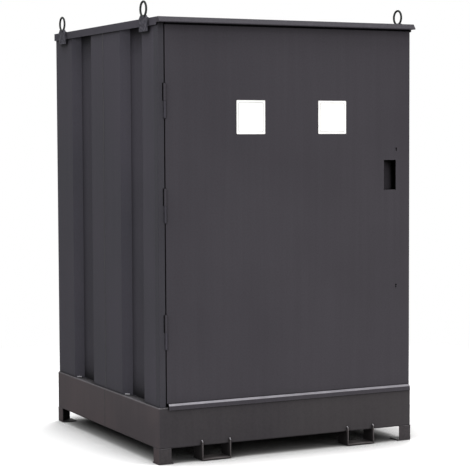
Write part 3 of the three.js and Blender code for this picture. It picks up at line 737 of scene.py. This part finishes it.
def new_tree(name, inputs):
    """A Geometry Nodes tree with named inputs, each a kind of socket, and its group input node."""
    tree = bpy.data.node_groups.new(name, "GeometryNodeTree")
    tree.is_modifier = True
    tree.interface.new_socket("Geometry", in_out="INPUT", socket_type="NodeSocketGeometry")
    for label, kind in inputs.items():
        tree.interface.new_socket(label, in_out="INPUT", socket_type=kind)
    tree.interface.new_socket("Geometry", in_out="OUTPUT", socket_type="NodeSocketGeometry")
    return tree, add(tree, "NodeGroupInput").outputs


def end_tree(tree, parts, given):
    """Ends a tree in its parts, joined as real geometry, with the material that it was given."""
    joined = add(tree, "GeometryNodeJoinGeometry")
    for part in parts:
        tree.links.new(part, joined.inputs[0])
    real = add(tree, "GeometryNodeRealizeInstances", {0: joined.outputs[0]}, 0)
    smooth = add(tree, "GeometryNodeSetShadeSmooth", {"Geometry": real, "Shade Smooth": True}, 0)
    done = add(tree, "GeometryNodeSetMaterial", {"Geometry": smooth, "Material": given["Material"]}, 0)
    add(tree, "NodeGroupOutput", {0: done})


def grown(name, tree, values, mesh=None):
    """The plain piece that a tree makes from a mesh and these values of its named inputs."""
    piece = bpy.data.objects.new(name, mesh or bpy.data.meshes.new(name))
    bpy.context.collection.objects.link(piece)
    growth = piece.modifiers.new(name, "NODES")
    growth.node_group = tree
    for item in tree.interface.items_tree:
        if item.item_type == "SOCKET" and item.in_out == "INPUT" and item.name in values:
            growth[item.identifier] = values[item.name]
    return plain(piece)


# Gratings: load bars from front to rear, twisted rods across them and a band all round
LOAD_BAR_PITCH = 30.0
LOAD_BAR_THICKNESS = 3.0
CROSS_ROD_PITCH = 50.0
CROSS_ROD_SIZE = 5.0
CROSS_ROD_TWIST = 25.0
BAND_THICKNESS = 4.0
ROD_STEP_SHARE = 0.25
BAND_SIDES = [((0, 1, 1), 0), ((0, 1, 1), 1), ((1, 0, 1), 0), ((1, 0, 1), 1)]


def grating_tree():
    """A grating between its low corner and its size: bars, twisted rods through them and a band round all."""
    tree, given = new_tree("bar_grating", {
        "Low": VECTOR, "Size": VECTOR, "Bar Count": COUNT, "Bar Offset": VECTOR, "Bar Size": VECTOR,
        "Rod Count": COUNT, "Rod Offset": VECTOR, "Rod Start": VECTOR, "Rod Radius": FLOAT,
        "Rod Step": FLOAT, "Rod Turns": FLOAT, "Band": FLOAT, "Material": MATERIAL,
    })
    low, size = given["Low"], given["Size"]

    bar = add(tree, CUBE, {"Size": given["Bar Size"]}, "Mesh")
    half_bar = add(tree, VECTOR_MATH, {0: given["Bar Size"], 1: HALF}, 0, operation="MULTIPLY")
    first = add(tree, VECTOR_MATH, {0: low, 1: given["Bar Offset"]}, 0, operation="ADD")
    start = add(tree, VECTOR_MATH, {0: first, 1: half_bar}, 0, operation="ADD")
    row = {"Count": given["Bar Count"], "Start Location": start, "Offset": given["Bar Offset"]}
    bar_places = add(tree, ROW, row, "Mesh")
    parts = [add(tree, INSTANCES, {"Points": bar_places, "Instance": bar}, 0)]

    across = add(tree, VECTOR_MATH, {0: size, 1: (1, 0, 0)}, 0, operation="MULTIPLY")
    line = add(tree, "GeometryNodeCurvePrimitiveLine", {"End": across}, 0)
    fine = add(tree, RESAMPLE, {"Curve": line, "Length": given["Rod Step"]}, 0, mode="LENGTH")
    along = add(tree, "GeometryNodeSplineParameter", out="Factor")
    twist = add(tree, MATH, {0: along, 1: given["Rod Turns"]}, 0, operation="MULTIPLY")
    tilted = add(tree, "GeometryNodeSetCurveTilt", {"Curve": fine, "Tilt": twist}, 0)
    square = add(tree, CIRCLE, {"Resolution": 4, 4: given["Rod Radius"]}, 0)
    rod = add(tree, SWEEP, {"Curve": tilted, "Profile Curve": square, "Fill Caps": True}, 0)
    row = {"Count": given["Rod Count"], "Start Location": given["Rod Start"], "Offset": given["Rod Offset"]}
    rod_places = add(tree, ROW, row, "Mesh")
    parts.append(add(tree, INSTANCES, {"Points": rod_places, "Instance": rod}, 0))

    thick = given["Band"]
    band = add(tree, "ShaderNodeCombineXYZ", {"X": thick, "Y": thick, "Z": thick}, 0)
    for keep, push in BAND_SIDES:
        thin = tuple(1 - k for k in keep)
        kept = add(tree, VECTOR_MATH, {0: size, 1: keep}, 0, operation="MULTIPLY")
        narrow = add(tree, VECTOR_MATH, {0: band, 1: thin}, 0, operation="MULTIPLY")
        strip = add(tree, VECTOR_MATH, {0: kept, 1: narrow}, 0, operation="ADD")
        half = add(tree, VECTOR_MATH, {0: strip, 1: HALF}, 0, operation="MULTIPLY")
        room = add(tree, VECTOR_MATH, {0: size, 1: strip}, 0, operation="SUBTRACT")
        moved = add(tree, VECTOR_MATH, {0: room, 1: (push, push, push)}, 0, operation="MULTIPLY")
        corner = add(tree, VECTOR_MATH, {0: low, 1: moved}, 0, operation="ADD")
        centre = add(tree, VECTOR_MATH, {0: corner, 1: half}, 0, operation="ADD")
        cube = add(tree, CUBE, {"Size": strip}, "Mesh")
        parts.append(add(tree, "GeometryNodeTransform", {"Geometry": cube, "Translation": centre}, 0))
    end_tree(tree, parts, given)
    return tree


def make_gratings():
    """Both gratings, each with bars and rods spaced evenly, near their usual pitches."""
    tree = grating_tree()
    for node in ("grating_left", "grating_right"):
        low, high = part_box(node)
        size = high - low
        gaps = round(size.x / (LOAD_BAR_PITCH * MM))
        pitch = (size.x - LOAD_BAR_THICKNESS * MM) / gaps
        rods = round(size.y / (CROSS_ROD_PITCH * MM)) - 1
        rod_pitch = size.y / (rods + 1)
        radius = CROSS_ROD_SIZE / math.sqrt(2) * MM
        piece = grown(f"{node}_bars", tree, {
            "Low": low, "Size": size, "Bar Count": gaps - 1, "Bar Offset": (pitch, 0, 0),
            "Bar Size": (LOAD_BAR_THICKNESS * MM, size.y, size.z), "Rod Count": rods,
            "Rod Offset": (0, rod_pitch, 0), "Rod Start": (low.x, low.y + rod_pitch, high.z - radius),
            "Rod Radius": radius, "Rod Step": CROSS_ROD_TWIST * ROD_STEP_SHARE * MM,
            "Rod Turns": size.x / (CROSS_ROD_TWIST * MM) * math.pi / 2, "Band": BAND_THICKNESS * MM,
            "Material": finishes["galvanised_steel"],
        })
        stand_for(piece, node)


# Weld beads
BEAD_RADIUS = 2.6
BEAD_RIPPLE = 3.0
BEAD_SWELL = (0.72, 1.12)
FINE_BEAD_SHARE = 0.7
SEAM_SUNK = 0.55
SUMP_SEAM = 1.7
WALL_SEAM = 1.6
FOOT_BEAD_PROUD = 0.8
FORK_WALL = 6.0
FORK_TAB_BEVEL = 5.0
STITCH_LENGTH = 34.0
KNUCKLE_STITCH = 20.4
STITCH_IN = 6.0
STITCH_LIFT = 3.0
RECESS_DEPTH = 38.0
RECESS_STITCHES = {"front": (222.0, 358.0), "rear": (852.0, 988.0)}
FLANK_FEET = {"front": 400.0, "rear": 1030.0}
FLANK_STITCH = (12.0, 28.0)
ARC_STEPS = 14


def bead_tree():
    """A bead along each line of edges, its width rippling as it was laid."""
    tree, given = new_tree("weld_bead", {"Radius": FLOAT, "Ripple": FLOAT, "Material": MATERIAL})
    line = add(tree, "GeometryNodeMeshToCurve", {"Mesh": given["Geometry"]}, 0)
    fine = add(tree, RESAMPLE, {"Curve": line, "Length": given["Ripple"]}, 0, mode="LENGTH")
    thin, thick = BEAD_SWELL
    swell = add(tree, "FunctionNodeRandomValue", {2: thin, 3: thick, "Seed": 7}, 1)
    profile = add(tree, CIRCLE, {"Resolution": 8, 4: given["Radius"]}, 0)
    sweep = {"Curve": fine, "Profile Curve": profile, "Scale": swell, "Fill Caps": True}
    end_tree(tree, [add(tree, SWEEP, sweep, 0)], given)
    return tree


def line_mesh(name, paths):
    """Paths of points, in metres, as the edges of a mesh."""
    points, edges = [], []
    for path in paths:
        edges += [(len(points) + i, len(points) + i + 1) for i in range(len(path) - 1)]
        points += path
    mesh = bpy.data.meshes.new(name)
    mesh.from_pydata(points, edges, [])
    return mesh


def foot_paths():
    """Round the top of each foot's angle, ground back on its two flush faces."""
    paths = []
    sunk = (BEAD_RADIUS - FOOT_BEAD_PROUD) * MM
    for end_name, side_name in corners:
        x, y, in_x, in_y = foot_corner(end_name, side_name)
        outline = angle_outline(x, y, in_x, in_y)
        outline[0] = (x + in_x * sunk, y + in_y * sunk)
        outline[1] = (outline[1][0], outline[0][1])
        outline[5] = (outline[0][0], outline[5][1])
        paths.append([(px, py, sump_low.z) for px, py in outline + outline[:1]])
    return paths


def fork_tab_paths():
    """Down both sides of each fork loop's tabs, where they stand against the sump's front and rear faces."""
    paths = []
    for end_name, side_name in corners:
        low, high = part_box(f"fork_loop_{end_name}_{side_name}")
        y = sump_low.y if end_name == "front" else sump_high.y
        for left in (low.x, high.x - FORK_WALL * MM):
            for x in (left, left + FORK_WALL * MM):
                paths.append([(x, y, sump_low.z), (x, y, high.z)])
    return paths


def fork_tip_paths():
    """Over the top of each fork loop's tabs, and down the bevel in front of it."""
    paths = []
    bevel = FORK_TAB_BEVEL * MM
    for end_name, side_name in corners:
        low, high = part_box(f"fork_loop_{end_name}_{side_name}")
        y, outward, tip = (sump_low.y, -1, low.y) if end_name == "front" else (sump_high.y, 1, high.y)
        for left in (low.x, high.x - FORK_WALL * MM):
            x = left + FORK_WALL / 2 * MM
            over = [(y, high.z + bevel / 2), (y + outward * bevel / 2, high.z), (tip, high.z - bevel)]
            paths.append([(x, along, up) for along, up in over])
    return paths


def flank_paths():
    """A stitch at the foot of the sloping side of each recess that looks to the front."""
    paths = []
    for end_name, side_name in corners:
        side = sides[side_name]
        low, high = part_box(f"side_wall_{side_name}_{end_name}")
        floor = (low.x if side < 0 else high.x) - side * RECESS_DEPTH * MM
        start = sump_low.y + FLANK_FEET[end_name] * MM
        paths.append([
            (floor + side * step * MM, start + step * MM, sump_high.z + STITCH_LIFT * MM)
            for step in FLANK_STITCH
        ])
    return paths


def eye_paths():
    """Down both edges of each eye plate, along the roof beside it, and along both sides of its saddle."""
    paths = []
    roof_low, roof_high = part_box("roof_tray")
    for end_name, side_name in corners:
        side = sides[side_name]
        low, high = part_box(f"lifting_plate_{end_name}_{side_name}")
        ring_low, ring_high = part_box(f"lifting_ring_{end_name}_{side_name}")
        inner = roof_high.x * side
        outer = high.x if side > 0 else low.x
        for y in (low.y, high.y):
            paths.append([(inner, y, roof_low.z), (inner, y, roof_high.z)])
        paths.append([(inner, low.y, roof_high.z), (inner, high.y, roof_high.z)])
        centre = (ring_low + ring_high) / 2
        reach = (ring_high.y - ring_low.y) / 2
        start = math.asin((centre.z - high.z) / reach)
        for x in (inner, outer):
            arc = []
            for i in range(ARC_STEPS + 1):
                angle = -start - i / ARC_STEPS * (math.pi - 2 * start)
                arc.append((x, centre.y + reach * math.cos(angle), centre.z + reach * math.sin(angle)))
            paths.append(arc)
    return paths


def knuckle_paths(part, side):
    """Two short beads beside each knuckle, on its left or right, where it meets the sheet."""
    paths = []
    for node in nodes_like(f"hinge_knuckle_{part}"):
        low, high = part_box(node)
        x = low.x if side < 0 else high.x
        y = door_low.y
        inset = STITCH_IN * MM
        length = KNUCKLE_STITCH * MM
        paths.append([(x, y, low.z + inset), (x, y, low.z + inset + length)])
        paths.append([(x, y, high.z - inset - length), (x, y, high.z - inset)])
    return paths


def wall_stitch_paths():
    """Stitches at the foot of each side wall, in the corner that its recess makes with the sump."""
    paths = []
    for end_name, side_name in corners:
        side = sides[side_name]
        low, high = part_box(f"side_wall_{side_name}_{end_name}")
        x = (low.x if side < 0 else high.x) - side * RECESS_DEPTH * MM
        for start in RECESS_STITCHES[end_name]:
            y = sump_low.y + start * MM
            paths.append([(x, y, sump_high.z), (x, y + STITCH_LENGTH * MM, sump_high.z)])
    return paths


def seam_paths(low, high, share):
    """The upright seam in the middle of each side between two heights, pressed half into its joint."""
    sunk = BEAD_RADIUS * share * SEAM_SUNK * MM
    y = (sump_low.y + sump_high.y) / 2
    inset = STITCH_IN * MM
    return [[(x, y, low.z + inset), (x, y, high.z - inset)] for x in (low.x + sunk, high.x - sunk)]


def rear_seam_path():
    """The upright seam where the two rear panels meet, pressed half into its joint."""
    low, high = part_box("rear_wall_left")
    y = high.y - BEAD_RADIUS * WALL_SEAM * SEAM_SUNK * MM
    return [(high.x, y, low.z), (high.x, y, high.z)]


def make_welds():
    """Beads in the coat of what they join, and a few in a pale paint that stands for the highlight on them.
    """
    tree = bead_tree()
    wall_low = Vector((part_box("side_wall_left_front")[0].x, 0, sump_high.z))
    wall_high = Vector((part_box("side_wall_right_front")[1].x, 0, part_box("side_wall_left_front")[1].z))
    wall_seams = seam_paths(wall_low, wall_high, WALL_SEAM) + [rear_seam_path()]
    sump_seams = seam_paths(sump_low, sump_high, SUMP_SEAM)
    groups = [
        ("foot_welds", "cabinet", "sump_paint", 1.0, foot_paths(), None),
        ("fork_tab_welds", "cabinet", "sump_paint", 0.9, fork_tab_paths(), None),
        # The fork tips and flank stitches are painted pale as their highlight
        ("fork_tip_welds", "cabinet", "sump_paint", 1.2, fork_tip_paths(), weld_highlight),
        ("sump_seams", "cabinet", "sump_paint", SUMP_SEAM, sump_seams, sealer),
        ("wall_seams", "cabinet", "body_paint", WALL_SEAM, wall_seams, sealer),
        ("lifting_eye_welds", "cabinet", "body_paint", 1.3, eye_paths(), coats["welded_powder_coat"]),
        ("wall_foot_welds", "cabinet", "body_paint", 1.1, wall_stitch_paths(), None),
        ("flank_foot_welds", "cabinet", "body_paint", 1.4, flank_paths(), weld_highlight),
        ("hinge_post_welds", "cabinet", "body_paint", FINE_BEAD_SHARE, knuckle_paths("post", -1), None),
        ("hinge_door_welds", "door", "door_paint", FINE_BEAD_SHARE, knuckle_paths("door", 1), None),
    ]
    for name, body, slot, share, paths, finish in groups:
        values = {"Radius": share * BEAD_RADIUS * MM, "Ripple": BEAD_RIPPLE * MM}
        values["Material"] = finish or finishes[slot]
        piece = grown(name, tree, values, line_mesh(name, paths))
        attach(piece, body)


# Fasteners: blind rivets in the vents, dome screws in the lock cases
VENT_SHEET = 1.5
RIVET_RADIUS = 4.5
RIVET_RISE = 1.8
RIVET_INSET = 8.0
SCREW_RADIUS = 4.0
SCREW_RISE = 2.2
SCREW_INSET = 9.0
STUB_SHARE = 1.15


def head_tree():
    """Domed heads on points that look along +Y, each with a smaller stub in its middle."""
    named = {"Radius": FLOAT, "Rise": VECTOR, "Stub": FLOAT, "Material": MATERIAL}
    tree, given = new_tree("domed_heads", named)
    ball = add(tree, BALL, {"Segments": 20, "Rings": 10, "Radius": given["Radius"]}, "Mesh")
    dome = add(tree, "GeometryNodeTransform", {"Geometry": ball, "Scale": given["Rise"]}, 0)
    stub = add(tree, BALL, {"Segments": 12, "Rings": 8, "Radius": given["Stub"]}, "Mesh")
    points = given["Geometry"]
    heads = [add(tree, INSTANCES, {"Points": points, "Instance": part}, 0) for part in (dome, stub)]
    end_tree(tree, heads, given)
    return tree


def corner_points(node, y, inset):
    """The four corners of a node's face at y, brought in by an inset in millimetres."""
    low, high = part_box(node)
    step = inset * MM
    return [(x, y, z) for x in (low.x + step, high.x - step) for z in (low.z + step, high.z - step)]


def make_fasteners():
    """A rivet at each corner of every vent and a screw at each corner of both lock cases."""
    tree = head_tree()
    vents = [n for n in body_of if n.startswith("rear_vent")]
    vent_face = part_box(vents[0])[0].y + VENT_SHEET * MM
    vent_points = [point for n in vents for point in corner_points(n, vent_face, RIVET_INSET)]
    locks = nodes_like("lock_case")
    lock_points = [point for n in locks for point in corner_points(n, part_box(n)[1].y, SCREW_INSET)]
    groups = [
        ("vent_rivets", "cabinet", "zinc_plate", RIVET_RADIUS, RIVET_RISE, vent_points),
        ("lock_screws", "door", "zinc_plate", SCREW_RADIUS, SCREW_RISE, lock_points),
    ]
    for name, body, slot, radius, rise, points in groups:
        mesh = bpy.data.meshes.new(name)
        mesh.from_pydata(points, [], [])
        values = {
            "Radius": radius * MM, "Rise": (1, rise / radius, 1), "Stub": rise * STUB_SHARE * MM,
            "Material": finishes[slot],
        }
        piece = grown(name, tree, values, mesh)
        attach(piece, body)


# Blank labels on the door: their left and right edges from the cabinet's left side, and their heights
LABEL_SPANS = {"left": (397.0, 543.0), "right": (822.0, 971.0)}
LABEL_LOW = 1481.0
LABEL_HIGH = 1635.0
LABEL_CORNER = 4.0
LABEL_FILM = 0.4
RULE_INSET = 9.0
RULE_WIDTH = 1.6
INK_FILM = 0.06


def make_labels():
    """White vinyl labels, blank but for a thin grey rule round each."""
    door_face = door_low.y
    film = door_face - LABEL_FILM * MM
    ink = film - INK_FILM * MM
    outer = RULE_INSET
    inner = RULE_INSET + RULE_WIDTH
    for name, (left, right) in LABEL_SPANS.items():
        low = Vector((sump_low.x + left * MM, 0, LABEL_LOW * MM))
        high = Vector((sump_low.x + right * MM, 0, LABEL_HIGH * MM))
        outline = round_rectangle(low, high, 0.0, LABEL_CORNER * MM)
        loops = [[(x, y, z) for x, z in outline] for y in (door_face, film)]
        white_vinyl = plain_finishes["white_vinyl_film"]
        label = skinned(f"{name}_blank_label", loops, white_vinyl, closed=False)
        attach(finished(label), "door")
        loops = [
            [(x, y, z) for x, z in round_rectangle(low, high, inset * MM, RULE_INSET * 2 * MM)]
            for inset, y in [(outer, film), (inner, film), (inner, ink), (outer, ink)]
        ]
        rule = skinned(f"{name}_label_rule", loops, plain_finishes["printed_grey_rule"], closed=True)
        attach(finished(rule), "door")


# A pale strip on the slope at the door's foot: a painted highlight where the slope catches the light
STRIP_THICKNESS = 0.8
STRIP_WIDTH_SHARE = 0.86
SKIRT_SLOPE = 10.0
STRIP_BEAD = 0.35


def make_slope_highlight_strip():
    """A bright strip laid on the skirt's slope as a painted highlight, with its edges rolled over."""
    low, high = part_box("door_skirt")
    run = SKIRT_SLOPE * MM
    top = Vector((0, low.y + run, high.z))
    foot = Vector((0, low.y, high.z - run))
    down = (foot - top).normalized()
    out = Vector((0, -down.z, down.y)) * -1
    middle = (top + foot) / 2
    half = (foot - top).length * STRIP_WIDTH_SHARE / 2
    thick = STRIP_THICKNESS * MM
    rolled = STRIP_BEAD * MM
    section = [
        middle - down * half, middle + down * half, middle + down * half + out * (thick - rolled),
        middle + down * (half - rolled) + out * thick, middle - down * (half - rolled) + out * thick,
        middle - down * half + out * (thick - rolled),
    ]
    loops = [[point + Vector((x, 0, 0)) for point in section] for x in (low.x + rolled, high.x - rolled)]
    strip = skinned("door_slope_highlight_strip", loops, plain_finishes["pale_slope_highlight_finish"], closed=False)
    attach(finished(strip), "door")


# Stage and light
FLOOR_RADIUS = 3.6
FLOOR_FADE = 2.0
FLOOR_DROP = 0.2
FLOOR_WHITE = 1.35
TROWEL_SIZE = 400.0
SHADE_REACH = 500.0
SHADE = [(0.0, 0.01), (0.3, 0.3), (0.5, 0.5), (0.62, 0.76), (0.75, 1.0)]
WORLD_LEVEL = 0.2
NEUTRAL = (1.0, 1.0, 1.0)
WARM = (1.0, 0.95, 0.92)

# Each lamp's place, what it looks at, how wide it is, its power and its tint
LAMPS = {
    "top_lamp": ((0.0, -0.2, 4.6), (0.0, 0.0, 0.0), 4.0, 180.0, NEUTRAL),
    "front_lamp": ((-2.4, -5.6, 1.5), (0.0, 0.0, 0.8), 2.6, 148.0, NEUTRAL),
    "left_lamp": ((-4.8, -1.8, 3.2), (0.0, 0.0, 1.4), 2.5, 128.0, NEUTRAL),
    "low_lamp": ((2.6, -4.2, 0.7), (0.3, 0.0, 0.5), 1.4, 100.0, WARM),
    "back_lamp": ((3.4, 4.6, 2.8), (0.0, 0.0, 1.0), 2.6, 150.0, NEUTRAL),
}


def make_camera():
    """The camera at the photograph's viewing angle."""
    ahead = Vector((
        math.sin(CAMERA_YAW) * math.cos(CAMERA_PITCH),
        math.cos(CAMERA_YAW) * math.cos(CAMERA_PITCH),
        math.sin(CAMERA_PITCH),
    ))
    level = Vector((math.cos(CAMERA_YAW), -math.sin(CAMERA_YAW), 0))
    upright = level.cross(ahead)
    right = level * math.cos(CAMERA_ROLL) + upright * math.sin(CAMERA_ROLL)
    top = upright * math.cos(CAMERA_ROLL) - level * math.sin(CAMERA_ROLL)
    camera = bpy.data.objects.new("camera", bpy.data.cameras.new("camera"))
    bpy.context.collection.objects.link(camera)
    camera.data.sensor_width = SENSOR_WIDTH
    camera.data.lens = FOCAL_PIXELS * SENSOR_WIDTH / PHOTO_SIZE
    camera.data.clip_end = CLIP_END
    turned_to = Matrix((right, top, -ahead)).transposed().to_4x4()
    camera.matrix_world = Matrix.Translation(CAMERA_PLACE) @ turned_to
    bpy.context.scene.camera = camera


def make_lamp(name, place, aim, size, power, tint):
    """A large soft lamp that looks from its place to its aim."""
    data = bpy.data.lights.new(name, "AREA")
    data.size = size
    data.energy = power
    data.color = tint
    made = bpy.data.objects.new(name, data)
    bpy.context.collection.objects.link(made)
    made.location = place
    made.rotation_euler = (Vector(aim) - Vector(place)).to_track_quat("-Z", "Y").to_euler()


def seen_share(tree):
    """1 for what the camera sees, itself or in gloss or glass, and 0 for the light on matt surfaces."""
    path = add(tree, LIGHT_PATH).outputs
    seen = path["Is Camera Ray"]
    for other in ("Is Glossy Ray", "Is Transmission Ray"):
        seen = add(tree, MATH, {0: seen, 1: path[other]}, 0, operation="MAXIMUM")
    return seen


def make_world():
    """White all round: at full strength where it is seen, and at the studio's level as light."""
    world = bpy.data.worlds.new("white_studio")
    world.use_nodes = True
    tree = world.node_tree
    tree.nodes.clear()
    levels = {"Value": seen_share(tree), "To Min": WORLD_LEVEL, "To Max": 1.0}
    level = add(tree, MAP_RANGE, levels, "Result")
    white = add(tree, "ShaderNodeBackground", {"Color": (1, 1, 1, 1), "Strength": level}, 0)
    add(tree, "ShaderNodeOutputWorld", {"Surface": white})
    bpy.context.scene.world = world


def make_floor():
    """Pale painted concrete that fades out all round, and keeps the cabinet's shadow."""
    made = bmesh.new()
    bmesh.ops.create_circle(made, cap_ends=True, segments=96, radius=FLOOR_RADIUS)
    for vertex in made.verts:
        vertex.co.z = -FLOOR_DROP * MM
    material, tree, place = new_material("pale_painted_floor")
    trowelled = add(tree, NOISE, {"Vector": place, "Scale": 1 / (TROWEL_SIZE * MM), "Detail": 4}, "Fac")
    colour = add(tree, RAMP, {0: trowelled}, 0, [(0.3, 0.52), (0.7, 0.58)])
    opened = add(tree, OPENNESS, {"Distance": SHADE_REACH * MM}, "AO", samples=8)
    for share, layer, blend in [
        (seen_share(tree), (1, 1, 1, 1), "MIX"),
        (add(tree, LIGHT_PATH, out="Is Camera Ray"), (FLOOR_WHITE, FLOOR_WHITE, FLOOR_WHITE, 1), "MIX"),
        (1.0, add(tree, RAMP, {0: opened}, 0, SHADE), "MULTIPLY"),
    ]:
        colour = add(tree, MIX, {0: share, 6: colour, 7: layer}, 2, data_type="RGBA", blend_type=blend)
    matt = add(tree, "ShaderNodeBsdfDiffuse", {"Color": colour}, 0)
    clear = add(tree, "ShaderNodeBsdfTransparent", out=0)
    reach = add(tree, VECTOR_MATH, {0: place}, "Value", operation="LENGTH")
    fade = {"Value": reach, "From Min": FLOOR_FADE, "From Max": FLOOR_RADIUS}
    gone = add(tree, MAP_RANGE, fade, "Result")
    both = add(tree, "ShaderNodeMixShader", {0: gone, 1: matt, 2: clear}, 0)
    add(tree, OUTPUT, {"Surface": both})
    piece_from("floor", made, material)


make_camera()
make_world()
make_floor()
for lamp_name, lamp in LAMPS.items():
    make_lamp(lamp_name, *lamp)
form_sheets()
ease_solids()
make_feet()
make_rings()
make_hinges()
make_seal()
make_gratings()
make_welds()
make_fasteners()
make_labels()
make_slope_highlight_strip()

bpy.context.scene.view_settings.view_transform = "Standard"
